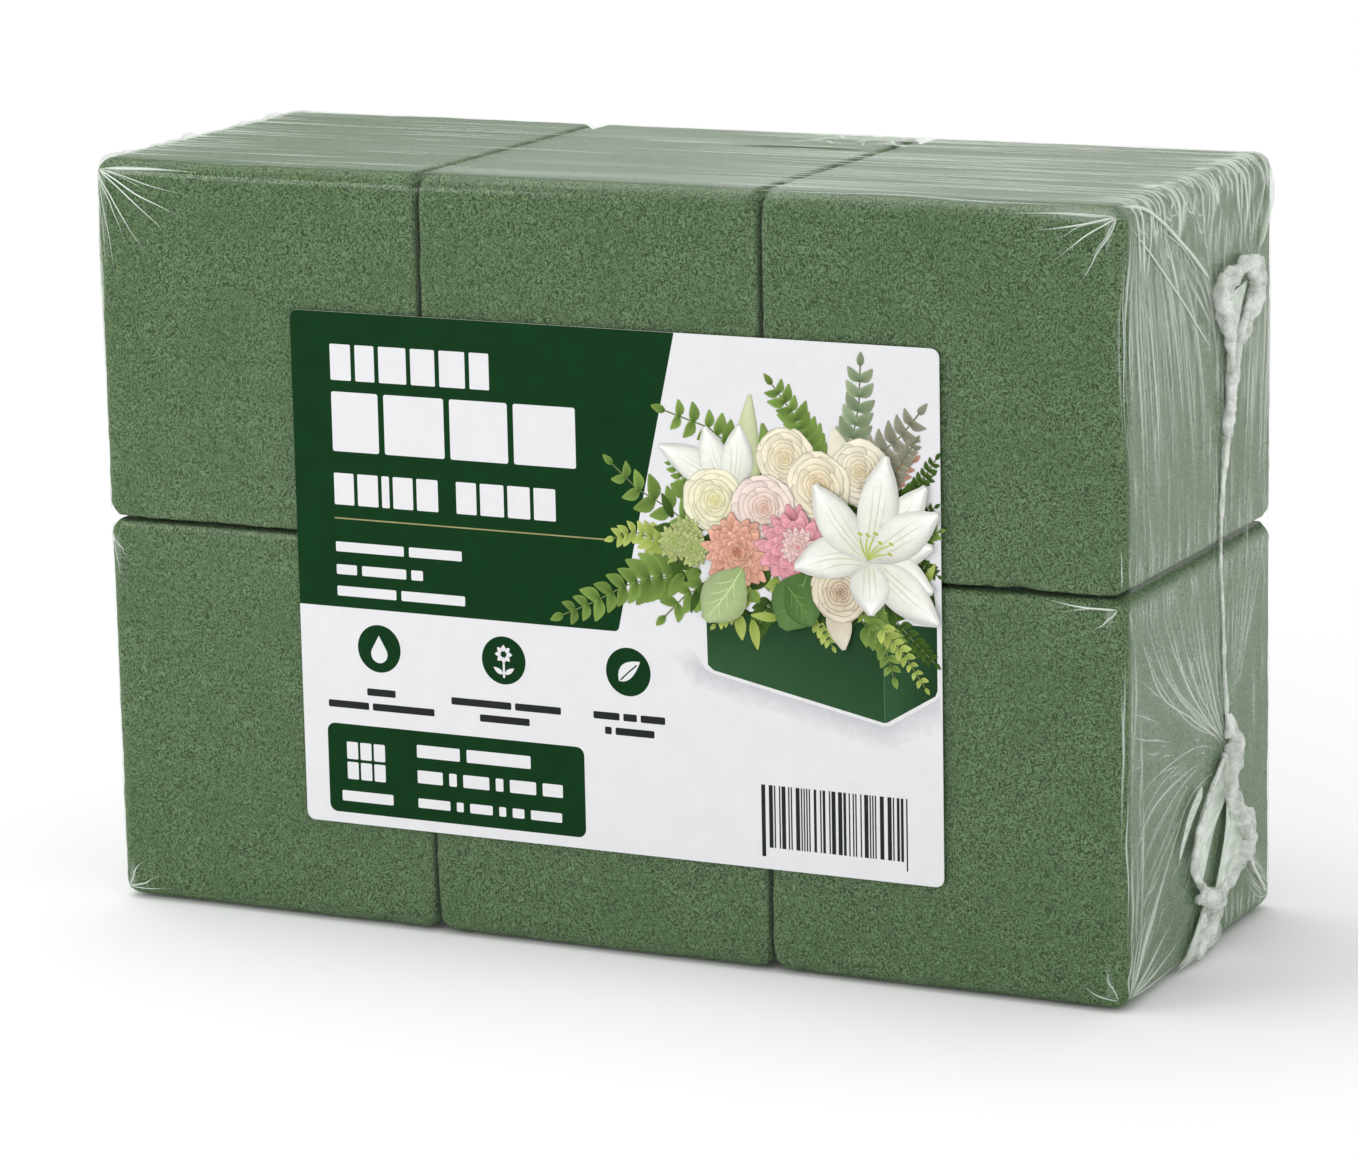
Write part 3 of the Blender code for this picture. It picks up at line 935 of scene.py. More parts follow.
def make_film(finish):
    """The folds, and the film itself, which lifts and turns milk-white beside them, a painted highlight
    round each fold.
    """
    folds = Folds()
    draw = random.Random(21)
    for end in (1, -1):
        EndFolds(folds, end, draw).all()
        fold_top(folds, end, draw)
    fold_corners(folds)
    fold_crumples(folds, draw)
    piece("film_folds", folds.points, folds.faces, finish, values={"haze_and_highlight": folds.values})
    low, high = FILM_REST
    lines = [
        spaced(low[0], high[0], 1.0 * MM, 4.0 * MM, 12 * MM),
        spaced(low[1], high[1], 0.75 * MM, 0.75 * MM, 6 * MM),
        spaced(low[2], high[2], 0.9 * MM, 2.0 * MM, 7 * MM),
    ]
    lines[0] = denser(lines[0], COLUMN_SEAMS)
    lines[2] = denser(lines[2], [ROW_SEAM])
    raw, faces = box_skin(lines)
    points, out = rounded(raw, low, high, FILM_RADIUS)
    lift, haze_and_highlight = film_lift(points, out, folds)
    standing = eased((points[:, 2] - low[2]) / (3 * MM))
    points = points + out * (lift * standing)[:, None]
    piece("shrink_wrap", points, faces, finish, values={"haze_and_highlight": haze_and_highlight}, stands_for=["shrink_film"])


# ---------------------------------------------------------------- gathered seals

# The melted cords: sides, spacing of their rings, flatness, lengths of a twist and of a lump.
CORD_SIDES = 12
CORD_STEP = 0.45 * MM
CORD_FLATNESS = 0.75
CORD_TWIST = 1.9 * MM
CORD_LUMP = 2.3 * MM
# The thin webs between them: points across, pleats, half thickness.
WEB_COLUMNS = 9
WEB_PLEATS = 5.0
WEB_HALF = 0.09 * MM

# The cords of one bead: places as shares of the end's depth and height, then radii and
# stand-off in millimetres along the cord, then how lumpy it is.
BEAD_CORDS = (
    # The front and rear lobes.
    (
        ((0.7, 0.855), (0.66, 0.87), (0.605, 0.864), (0.565, 0.846), (0.588, 0.822), (0.64, 0.79)),
        (1.2, 2.2, 2.9, 3.2, 2.6, 1.5),
        (1.6, 2.4, 2.7, 2.7, 2.5, 1.8),
        0.34,
    ),
    (
        ((0.68, 0.86), (0.73, 0.875), (0.79, 0.868), (0.822, 0.845), (0.8, 0.82), (0.73, 0.775)),
        (1.2, 2.0, 2.6, 2.9, 2.3, 1.3),
        (1.8, 2.4, 2.6, 2.6, 2.3, 1.6),
        0.34,
    ),
    # Their legs, which close to a V.
    (
        ((0.61, 0.84), (0.63, 0.81), (0.655, 0.77), (0.66, 0.72), (0.65, 0.68)),
        (1.5, 1.7, 1.7, 1.6, 1.3),
        (1.9, 1.8, 1.7, 1.4, 1.2),
        0.24,
    ),
    (
        ((0.79, 0.83), (0.74, 0.8), (0.705, 0.76), (0.68, 0.72), (0.66, 0.66)),
        (1.2, 1.4, 1.4, 1.2, 1.0),
        (1.8, 1.5, 1.4, 1.2, 1.0),
        0.24,
    ),
    # The tapering cord down to the knot.
    (
        (
            (0.665, 0.74),
            (0.65, 0.68),
            (0.625, 0.61),
            (0.615, 0.52),
            (0.63, 0.44),
            (0.64, 0.36),
            (0.65, 0.27),
        ),
        (2.4, 1.7, 0.85, 0.5, 0.5, 0.6, 1.0),
        (1.4, 1.2, 0.8, 0.5, 0.5, 0.6, 1.2),
        0.24,
    ),
    # The knot, and the thick cord that bows to the rear.
    (
        (
            (0.655, 0.3),
            (0.68, 0.265),
            (0.65, 0.235),
            (0.64, 0.2),
            (0.7, 0.17),
            (0.76, 0.14),
            (0.77, 0.115),
            (0.7, 0.09),
            (0.6, 0.07),
        ),
        (0.9, 2.4, 3.1, 2.5, 2.8, 2.9, 2.5, 2.0, 1.5),
        (1.0, 2.1, 2.6, 2.2, 2.3, 2.3, 2.0, 1.5, 1.2),
        0.32,
    ),
    # The thin edge that bows to the front.
    (
        (
            (0.63, 0.25),
            (0.55, 0.22),
            (0.47, 0.19),
            (0.42, 0.16),
            (0.41, 0.125),
            (0.47, 0.095),
            (0.53, 0.075),
        ),
        (1.0, 0.7, 0.9, 1.2, 1.1, 1.6, 1.7),
        (1.2, 1.1, 1.5, 1.9, 1.9, 1.7, 1.4),
        0.24,
    ),
    # The clump at the foot, and a thread to the lower rear corner.
    (
        ((0.44, 0.085), (0.5, 0.08), (0.55, 0.07), (0.56, 0.05), (0.5, 0.03), (0.45, 0.008)),
        (1.2, 2.5, 3.0, 2.5, 1.7, 1.9),
        (1.3, 2.2, 2.2, 1.7, 1.3, 1.3),
        0.32,
    ),
    (((0.77, 0.125), (0.84, 0.075), (0.93, 0.03)), (0.8, 0.5, 0.4), (1.2, 0.8, 0.5), 0.24),
)
# Threads that fan out below the clump.
SKIRT_THREADS = 5

# The webs between the cords: a line along one edge, a line along the other, milk.
BEAD_WEBS = (
    (
        ((0.63, 0.25), (0.5, 0.2), (0.42, 0.15), (0.43, 0.11)),
        ((0.66, 0.24), (0.65, 0.2), (0.56, 0.16), (0.48, 0.1)),
        0.5,
    ),
    (
        ((0.64, 0.2), (0.63, 0.16), (0.6, 0.12), (0.56, 0.08)),
        ((0.68, 0.18), (0.75, 0.14), (0.76, 0.11), (0.64, 0.075)),
        0.6,
    ),
    (((0.48, 0.07), (0.4, 0.035), (0.34, 0.004)), ((0.57, 0.065), (0.6, 0.035), (0.63, 0.004)), 0.4),
    (((0.62, 0.84), (0.65, 0.8), (0.68, 0.76)), ((0.78, 0.85), (0.73, 0.81), (0.69, 0.76)), 0.6),
    (((0.35, 0.18), (0.39, 0.21), (0.47, 0.23)), ((0.33, 0.15), (0.4, 0.185), (0.48, 0.215)), 0.45),
)


def cord(store, place, out, radii, lumps, draw):
    """A lumpy twisted cord of melted film through places in space."""
    ahead = np.gradient(place, axis=0)
    ahead /= np.maximum(np.linalg.norm(ahead, axis=1, keepdims=True), 1e-9)
    side = np.cross(out, ahead)
    side /= np.maximum(np.linalg.norm(side, axis=1, keepdims=True), 1e-9)
    up = np.cross(ahead, side)
    length = np.concatenate(([0], np.cumsum(np.linalg.norm(np.diff(place, axis=0), axis=1))))
    seed = draw.uniform(0, 40)
    rings = []
    for number in range(CORD_SIDES):
        angle = math.tau * number / CORD_SIDES
        across, rise = math.cos(angle), math.sin(angle)
        ridge = np.sin(2 * angle + length / CORD_TWIST) * 0.16
        ridge = ridge + np.sin(3 * angle - length / (CORD_TWIST * 1.7)) * 0.1
        spots = [Vector((across * 1.1 + seed, rise * 1.1, at)) for at in length / CORD_LUMP]
        bumps = np.array([noise.noise(spot) for spot in spots]) * lumps * 1.6
        reach = radii * (1 + ridge + bumps)
        sideways, outward = across * reach, rise * reach * CORD_FLATNESS
        rings.append(place + side * sideways[:, None] + up * outward[:, None])
    points = np.stack(rings, axis=1).reshape(-1, 3)
    faces = []
    for row in range(len(place) - 1):
        for number in range(CORD_SIDES):
            a, b = row * CORD_SIDES + number, row * CORD_SIDES + (number + 1) % CORD_SIDES
            faces.append((a, b, b + CORD_SIDES, a + CORD_SIDES))
    faces.append(tuple(range(CORD_SIDES))[::-1])
    faces.append(tuple(range((len(place) - 1) * CORD_SIDES, len(place) * CORD_SIDES)))
    store.add(points, faces)


def end_line(end, points, off):
    """Close places along a line on an end, standing off it by the given heights."""
    rough = smooth_line(points, 60) * FILM_SIZE[1:]
    length = np.linalg.norm(np.diff(rough, axis=0), axis=1).sum()
    count = max(8, int(length / CORD_STEP))
    line = smooth_line(points, count)
    place, out = rounded(film_places(end, line[:, 0], line[:, 1]), *FILM_REST, FILM_RADIUS)
    off = np.interp(np.linspace(0, 1, count), np.linspace(0, 1, len(off)), off)
    return place + out * off[:, None], out


def web(store, first, second, out, milk_and_highlight, draw):
    """A thin pleated web between two lines of places."""
    rows = len(first)
    wave = draw.uniform(0, 6)
    layers = []
    for face in (WEB_HALF, -WEB_HALF):
        for row in range(rows):
            for column in range(WEB_COLUMNS):
                t = column / (WEB_COLUMNS - 1)
                pleat = math.sin(WEB_PLEATS * math.tau * row / rows + wave + 2.2 * t)
                bulge = pleat * 0.35 * MM * math.sin(math.pi * t)
                layers.append(first[row] + (second[row] - first[row]) * t + out[row] * (bulge + face))
    tones = []
    for row in range(rows):
        for column in range(WEB_COLUMNS):
            streak = noise.noise(Vector((row * 0.05, column * 0.9, wave)))
            tones.append(milk_and_highlight * (0.85 + 0.6 * streak))
    store.add(layers, sheet_faces(rows, WEB_COLUMNS), tones * 2)


def make_bead(end, side, melted, draw):
    """Melted film: two lobes, a tapering cord, a knot, a ribbon's edges and a skirt of threads."""
    store = Gathered()

    def rope(points, radii, off, lumps):
        place, out = end_line(end, points, np.array(off) * MM)
        radii = np.interp(np.linspace(0, 1, len(place)), np.linspace(0, 1, len(radii)), radii) * MM
        cord(store, place, out, radii, lumps, draw)

    for points, radii, off, lumps in BEAD_CORDS:
        rope(points, radii, off, lumps)
    for number in range(SKIRT_THREADS):
        t = number / (SKIRT_THREADS - 1)
        thread = [(0.49, 0.06), (0.42 + 0.1 * t, 0.035), (0.36 + 0.22 * t, 0.006)]
        rope(thread, (0.6, 0.4, 0.5), (1.2, 1.0, 0.6), 0.15)
    name = f"gathered_bead_{side}"
    piece(name, store.points, store.faces, melted, stands_for=[f"end_seal_{side}"])


def make_webs(end, side, finish, draw):
    """The thin film stretched between the bead's cords."""
    webs = Gathered()
    for one, two, milk_and_highlight in BEAD_WEBS:
        first, out = end_line(end, one, (1.2 * MM, 1.5 * MM, 1.2 * MM))
        line = smooth_line(two, len(first))
        other, _ = rounded(film_places(end, line[:, 0], line[:, 1]), *FILM_REST, FILM_RADIUS)
        web(webs, first, other + out * 1.0 * MM, out, milk_and_highlight, draw)
    name = f"gathered_web_{side}"
    piece(name, webs.points, webs.faces, finish, values={"haze_and_highlight": webs.values})


# The lap seal: steps along it and up it, and where its outer and inner faces stand.
LAP_COLUMNS = 260
LAP_ROWS = 13
LAP_FACES = 0.28 * MM, 0.08 * MM


def lap_place(share, up, low, high, face):
    """A place on the lap seal from shares of its length and height; its free edge is at up 0."""
    x = low[0] + 1 * MM + (high[0] - low[0] - 2 * MM) * share
    wave = noise.noise(Vector((x / (7 * MM), 0, 4.2))) * 0.9 * MM
    z = low[2] + (high[2] - low[2]) * up + wave * (1 - up) * 1.2 - wave * 0.4 * up
    crimp = math.sin(math.tau * up * LAP_ROWS / 3.2) * 0.12 * MM
    ruffle = noise.noise(Vector((x / (3 * MM), up * 2, 9.1))) * 0.35 * MM * (0.3 + 0.7 * (1 - up))
    flare = 0.35 * MM * (1 - up) ** 2
    return (x, FILM_REST[1][1] + 0.35 * MM + face + crimp + abs(ruffle) + flare, z)


def make_back_seal(finish):
    """The lap seal along the back: a crimped strip with a wavy free edge."""
    low, high = (np.array(corner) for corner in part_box("back_lap_seal"))
    points = [
        lap_place(column / LAP_COLUMNS, row / LAP_ROWS, low, high, face)
        for face in LAP_FACES
        for column in range(LAP_COLUMNS + 1)
        for row in range(LAP_ROWS + 1)
    ]
    faces = [face[::-1] for face in sheet_faces(LAP_COLUMNS + 1, LAP_ROWS + 1)]
    front = points[: len(points) // 2]
    cloudy = [noise.noise(Vector((x / (9 * MM), 0, z / (4 * MM)))) for x, _, z in front]
    haze_and_highlight = [0.35 + 0.25 * abs(value) for value in cloudy] * 2
    name = "back_lap_strip"
    piece(name, points, faces, finish, values={"haze_and_highlight": haze_and_highlight}, stands_for=["back_lap_seal"])


# ---------------------------------------------------------------- label

LABEL_FACE = LABEL_LOW[1]
INK = 0.03 * MM
LABEL_HEIGHT = (LABEL_HIGH - LABEL_LOW)[2] / MM
LABEL_CORNER = 2.2


def on_label(across, up, layer):
    """A place on the label, in millimetres from its lower left corner, some layers of ink up."""
    return (LABEL_LOW[0] + across * MM, LABEL_FACE - layer * INK, LABEL_LOW[2] + up * MM)


def plate(store, outline, layer, thickness=1.0, value=None):
    """A thin flat plate of ink from an outline that runs anticlockwise."""
    count = len(outline)
    base = [on_label(*place, layer) for place in outline]
    face = [on_label(*place, layer + thickness) for place in outline]
    sides = [(k, (k + 1) % count, count + (k + 1) % count, count + k) for k in range(count)]
    ends = [tuple(range(count))[::-1], tuple(range(count, 2 * count))]
    store.add(base + face, ends + sides, value)


def arc(centre, radius, start, end, steps=8):
    """Points along an arc, from start to end in quarter turns."""
    x, y = centre
    angles = [math.pi / 2 * (start + (end - start) * step / steps) for step in range(steps + 1)]
    return [(x + radius * math.cos(angle), y + radius * math.sin(angle)) for angle in angles]


def round_box(left, bottom, right, top, radius):
    """The outline of a rectangle with round corners."""
    outline = []
    for quarter, (x, y) in enumerate(((right, top), (left, top), (left, bottom), (right, bottom))):
        centre = (x - radius if x == right else x + radius, y - radius if y == top else y + radius)
        outline += arc(centre, radius, quarter, quarter + 1, 5)
    return outline


def disc(centre, radius, steps=40):
    """The outline of a disc."""
    return arc(centre, radius, 0, 4 * (1 - 1 / steps), steps - 1)


def make_label(paper):
    """The sticker's paper."""
    width, height = (LABEL_HIGH - LABEL_LOW)[[0, 2]] / MM
    store = Gathered()
    thickness = (LABEL_HIGH - LABEL_LOW)[1] / INK
    plate(store, round_box(0, 0, width, height, LABEL_CORNER), -thickness, thickness)
    stands_for = ["front_label"]
    piece("label_paper", store.points, store.faces, paper, smooth=False, stands_for=stands_for)


def block_row(store, left, bottom, height, widths, gap, layer, radius=0.35):
    """A row of rounded blocks of the given widths, side by side."""
    for width in widths:
        plate(store, round_box(left, bottom, left + width, bottom + height, radius), layer)
        left += width + gap


def drop_shape(centre, size):
    """A water drop that points up."""
    outline = arc((centre[0], centre[1] - size * 0.25), size * 0.62, -2.3, 0.3, 16)
    return [*outline, (centre[0], centre[1] + size)]


def leaf_shape(base, tip, width, bend=0.0, steps=9):
    """A pointed leaf from base to tip, bent sideways by a share of its length."""
    base, tip = np.array(base, float), np.array(tip, float)
    along = tip - base
    side = np.array((-along[1], along[0])) / np.linalg.norm(along)
    right, left = [], []
    for step in range(1, steps):
        share = step / steps
        middle = base + along * share + side * bend * np.linalg.norm(along) * math.sin(math.pi * share)
        half = side * width / 2 * math.sin(math.pi * share**0.8) ** 0.9
        right.append(tuple(middle - half))
        left.append(tuple(middle + half))
    return [tuple(base), *right, tuple(tip), *left[::-1]]


def strip_shape(points, width):
    """A narrow strip along a line of points."""
    points = np.array(points, float)
    ahead = np.gradient(points, axis=0)
    side = np.stack((-ahead[:, 1], ahead[:, 0]), axis=1)
    side *= (width / 2 / np.linalg.norm(side, axis=1))[:, None]
    return [tuple(point) for point in points - side] + [tuple(point) for point in (points + side)[::-1]]


ICON_PLACES = ((23.2, 47.6), (59.6, 47.6), (95.2, 47.6))
ICON_RADIUS = 6.3

# Rows of blocks, in millimetres: left, bottom, height, widths, gap between them.
HEADING_ROWS = (
    (11.5, 117.6, 9.4, (6.0, 5.6, 8.0, 7.0, 7.4, 5.6), 1.3),
    (11.5, 85.0, 8.3, (5.8, 6.0, 2.2, 5.8, 6.2), 1.1),
    (47.2, 85.0, 8.3, (5.8, 6.8, 6.4, 6.2), 1.1),
    (11.4, 72.6, 2.6, (20.0, 15.4), 1.5),
    (11.4, 66.6, 2.6, (6.0, 13.0, 3.4), 1.5),
    (11.4, 60.9, 2.6, (17.4, 18.6), 1.5),
    (12.6, 12.0, 4.6, (3.3, 3.3, 3.3), 0.7),
    (12.6, 17.4, 4.6, (3.3, 3.3, 3.3), 0.7),
    (10.8, 6.0, 2.8, (15.2,), 1.0),
    (33.4, 19.6, 3.4, (12.6, 18.6), 2.0),
    (33.4, 12.8, 3.4, (7.4, 2.2, 7.6, 2.2, 7.6, 5.8), 1.9),
    (33.4, 6.2, 2.5, (9.4, 2.0, 6.6, 2.0, 3.4, 9.0), 1.9),
)
LARGEST_ROW = (11.5, 99.0, 15.6, (13.6, 17.4, 16.6, 17.6), 1.7)
CAPTION_ROWS = (
    (19.2, 34.9, 1.9, (8.4,), 1.0),
    (7.6, 31.0, 1.9, (12.0, 18.2), 1.1),
    (44.0, 34.7, 1.9, (17.4, 13.2), 1.1),
    (52.2, 30.9, 1.9, (14.4,), 1.0),
    (85.0, 34.7, 1.9, (7.4, 3.8, 6.9), 1.1),
    (88.2, 30.9, 1.9, (1.9, 11.0), 1.1),
)

# The stripe block: its sides, the foot of the short stripes, and where the long ones stand.
STRIPES_LEFT, STRIPES_RIGHT = 131.8, 172.0
STRIPES_TOP, STRIPES_FOOT, LONG_FOOT = 21.8, 5.6, 3.2
LONG_STRIPES = (131.0, 132.6), (151.5, 152.8), (171.0, 172.0)


def make_panels(green):
    """The green panel, icon discs and size box; returns the white edges that stand out round them."""
    dark, pale = Gathered(), Gathered()
    corner = arc((LABEL_CORNER, LABEL_HEIGHT - LABEL_CORNER), LABEL_CORNER, 1, 2, 5)
    edge = arc((93.0, 58.4), 1.3, 3.1, 3.9, 4)
    foot = arc((91.6, 59.2), 1.3, 3, 3.9, 4)
    plate(pale, [(110.9, LABEL_HEIGHT), *corner, (0, 57.1), (93.2, 57.1), *edge], 0)
    plate(dark, [(109.9, LABEL_HEIGHT - 0.02), *corner, (0, 57.9), *foot], 1)
    for place in ICON_PLACES:
        plate(pale, disc(place, ICON_RADIUS + 0.9), 0)
        plate(dark, disc(place, ICON_RADIUS), 1)
    plate(pale, round_box(6.2, 2.1, 82.9, 27.5, 2.9), 0)
    plate(dark, round_box(7.0, 2.9, 82.1, 26.7, 2.2), 1)
    piece("label_green_print", dark.points, dark.faces, green, smooth=False)
    return pale


def make_white_marks(pale, white):
    """Plain blocks where a maker prints words, and three simple pictograms."""
    for row in HEADING_ROWS:
        block_row(pale, *row, 2)
    block_row(pale, *LARGEST_ROW, 2, 0.6)
    (drop_x, icon_y), (flower_x, _), (leaf_x, _) = ICON_PLACES
    plate(pale, drop_shape((drop_x, icon_y - 0.4), 3.9), 2)
    middle = np.array((flower_x, icon_y + 1.6))
    for turn in range(8):
        angle = math.tau * turn / 8
        way = np.array((math.cos(angle), math.sin(angle)))
        plate(pale, leaf_shape(middle + way * 0.75, middle + way * 2.5, 1.25), 2)
    plate(pale, round_box(flower_x - 0.3, icon_y - 4.6, flower_x + 0.3, icon_y - 0.6, 0.2), 2)
    for side in (-1, 1):
        base, tip = (flower_x + side * 0.3, icon_y - 3.6), (flower_x + side * 3.0, icon_y - 1.9)
        plate(pale, leaf_shape(base, tip, 1.3), 2)
    plate(pale, leaf_shape((leaf_x - 2.7, icon_y - 2.5), (leaf_x + 3.4, icon_y + 2.9), 4.0, 0.06), 2)
    piece("label_white_print", pale.points, pale.faces, white, smooth=False)


def make_dark_marks(ink, gold, green):
    """Captions as plain bars, the stripe block, the fine rule and the pictograms' green cuts."""
    dark, rule, cuts = Gathered(), Gathered(), Gathered()
    for row in CAPTION_ROWS:
        block_row(dark, *row, 0)
    draw = random.Random(11)
    left = STRIPES_LEFT
    while left < STRIPES_RIGHT:
        right = left + draw.choice((0.36, 0.36, 0.72, 1.08))
        foot = LONG_FOOT if any(low < left < high for low, high in LONG_STRIPES) else STRIPES_FOOT
        plate(dark, [(left, foot), (right, foot), (right, STRIPES_TOP), (left, STRIPES_TOP)], 0)
        left = right + draw.choice((0.36, 0.36, 0.72, 1.0))
    plate(rule, [(11.3, 81.25), (90.0, 81.25), (90.0, 81.6), (11.3, 81.6)], 2)
    _, (flower_x, _), (leaf_x, icon_y) = ICON_PLACES
    vein = [(leaf_x - 2.2, icon_y - 2.2), (leaf_x - 0.2, icon_y - 0.3), (leaf_x + 2.4, icon_y + 1.9)]
    plate(cuts, strip_shape(vein, 0.35), 3)
    plate(cuts, disc((flower_x, icon_y + 1.6), 0.5, 12), 3)
    piece("label_dark_print", dark.points, dark.faces, ink, smooth=False)
    piece("label_gold_rule", rule.points, rule.faces, gold, smooth=False)
    piece("label_pictogram_cuts", cuts.points, cuts.faces, green, smooth=False)


# ---------------------------------------------------------------- flower picture on the label

# Heights above the paper are counted in layers of ink. A petal rises one small step above
# whatever lies under it, which is remembered for each square cell of the picture; a broad
# petal also clears the cells beside it.
LAYER_STEP = 0.05
FLAT_LAYER = 0.2
CELL = 2.0
BROAD = 4.0
SMALL_HEAD = 5.5
PAPER_TONE = (0.77, 0.77, 0.79)


class Picture(Gathered):
    """The flower picture: thin overlapping shapes with a tone at every point."""

    def __init__(self, ground=1.0):
        super().__init__()
        self.ground = ground
        self.tops = {}

    def above(self, places, width=0.0, thickness=0.0):
        """The layer just above everything that a new shape through these places may cover."""
        beside = (-1, 0, 1) if width > BROAD else (0,)
        cells = set()
        for x, y in places:
            column, row = int(x / CELL), int(y / CELL)
            cells.update((column + across, row + up) for across in beside for up in beside)
        layer = max(self.tops.get(cell, self.ground) for cell in cells) + LAYER_STEP
        self.tops.update((cell, layer + thickness) for cell in cells)
        return layer

    def petal(
        self,
        base,
        tip,
        width,
        inner,
        outer,
        rim=None,
        bend=0.0,
        fullness=0.8,
        rise=0.6,
        steps=8,
        bloom=0.8,
        point=0.75,
    ):
        """A petal or leaf from base to tip, with tones for its base, its tip and its rim."""
        base, tip = np.array(base, float), np.array(tip, float)
        along = tip - base
        length = np.linalg.norm(along)
        side = np.array((-along[1], along[0])) / length
        inner, outer = np.array(inner), np.array(outer)
        rim = outer if rim is None else np.array(rim)
        columns = (-1.0, -0.55, 0.0, 0.55, 1.0)
        spots, crowns, tones = [], [], []
        for row in range(steps + 1):
            share = row / steps
            middle = base + along * share + side * bend * length * math.sin(math.pi * share)
            swell = math.sin(math.pi * min(max(share, 0.03), 0.97) ** fullness)
            half = width / 2 * max(swell, 0.03) ** point
            for column in columns:
                spots.append(tuple(middle + side * half * column))
                crowns.append((1 - column**2) * rise * LAYER_STEP * math.sin(math.pi * share))
                tone = inner + (outer - inner) * share**bloom
                tone = tone + (rim - tone) * abs(column) ** 2.5 * 0.8
                tones.append(tone * (1 - 0.13 * max(-column, 0)))
        layer = self.above(spots, width)
        points = [on_label(*spot, layer + crown) for spot, crown in zip(spots, crowns)]
        under = [on_label(*spot, layer - LAYER_STEP * 0.6) for spot in spots]
        self.add(points + under, sheet_faces(steps + 1, len(columns)), tones + tones)

    def shadowed_petal(self, base, tip, width, shadow, tones, bloom, point=0.75, **shape):
        """A petal over a slightly larger dark one, which draws its edge."""
        base, tip = np.array(base, float), np.array(tip, float)
        ahead = (tip - base) / np.linalg.norm(tip - base)
        self.petal(base, tip + ahead * 0.2, width * 1.02 + 0.2, shadow, shadow, **shape)
        self.petal(base, tip, width, *tones, bloom=bloom, point=point, **shape)

    def flat(self, outline, tones, layer=None):
        """A flat plate with one tone, or one tone for each corner."""
        count = len(outline)
        tones = [tones] * count if isinstance(tones[0], float) else list(tones)
        if layer is None:
            layer = self.above(outline, thickness=FLAT_LAYER)
        plate(self, outline, layer, FLAT_LAYER, [np.array(tone) for tone in tones * 2])

    def band(self, first, second, first_tone, second_tone, layer):
        """A flat band between two lines, which fades from one tone to the other."""
        count = len(first)
        points = [on_label(*place, layer) for place in (*first, *second)]
        points += [on_label(*place, layer - 0.3) for place in (*first, *second)]
        faces = []
        for k in range(count - 1):
            faces.append((k, k + 1, count + k + 1, count + k))
            faces.append((3 * count + k, 3 * count + k + 1, 2 * count + k + 1, 2 * count + k))
            faces.append((k + 1, k, 2 * count + k, 2 * count + k + 1))
            faces.append((count + k, count + k + 1, 3 * count + k + 1, 3 * count + k))
        faces.append((0, count, 3 * count, 2 * count))
        faces.append((2 * count - 1, count - 1, 3 * count - 1, 4 * count - 1))
        tones = [np.array(first_tone)] * (count + 1) + [np.array(second_tone)] * (count - 1)
        self.add(points, faces, tones * 2)

    def rose(self, centre, radius, rim, deep, draw):
        """Rings of broad petals that close towards the middle."""
        centre, rim, deep = np.array(centre, float), np.array(rim), np.array(deep)
        rings = ((1.0, 5), (0.82, 5), (0.64, 4), (0.48, 4), (0.34, 3), (0.23, 3), (0.13, 2))
        for share, count in rings:
            start = draw.uniform(0, math.tau)
            for turn in range(count):
                angle = start + math.tau * (turn + draw.uniform(-0.12, 0.12)) / count
                way = np.array((math.cos(angle), math.sin(angle)))
                reach = radius * share * draw.uniform(0.95, 1.05)
                tone = rim * (0.93 + 0.07 * share)
                shade = deep + (rim * 0.74 - deep) * share**1.3
                tones = shade, tone, tone * 1.08
                base, tip = centre - way * reach * 0.25, centre + way * reach
                shape = {"bend": draw.uniform(-0.1, 0.1), "fullness": 1.5, "rise": 0.35, "steps": 9}
                shadow = deep + (rim * 0.7 - deep) * share**0.8
                bloom = 2.8 + 3.4 * (1 - share)
                self.shadowed_petal(base, tip, reach * 1.5, shadow, tones, bloom, **shape)

    def dahlia(self, centre, radius, tips, deep, draw):
        """Many narrow petals in close rings."""
        centre, tips = np.array(centre, float), np.array(tips)
        rings = ((1.0, 15), (0.92, 15), (0.78, 14), (0.64, 12), (0.5, 10), (0.36, 8), (0.22, 5))
        if radius < SMALL_HEAD:
            rings = rings[::2]
        for share, count in rings:
            start = draw.uniform(0, math.tau)
            for turn in range(count):
                angle = start + math.tau * (turn + draw.uniform(-0.25, 0.25)) / count
                way = np.array((math.cos(angle), math.sin(angle)))
                reach = radius * share * draw.uniform(0.88, 1.06)
                tone = tips * draw.uniform(0.85, 1.1)
                tones = deep, tone, tone * 1.1
                tip = centre + way * reach
                shape = {"bend": draw.uniform(-0.12, 0.12), "fullness": 1.7, "rise": 0.5, "steps": 6}
                self.shadowed_petal(centre, tip, radius * 0.3, tone * 0.68, tones, 2.6, **shape)

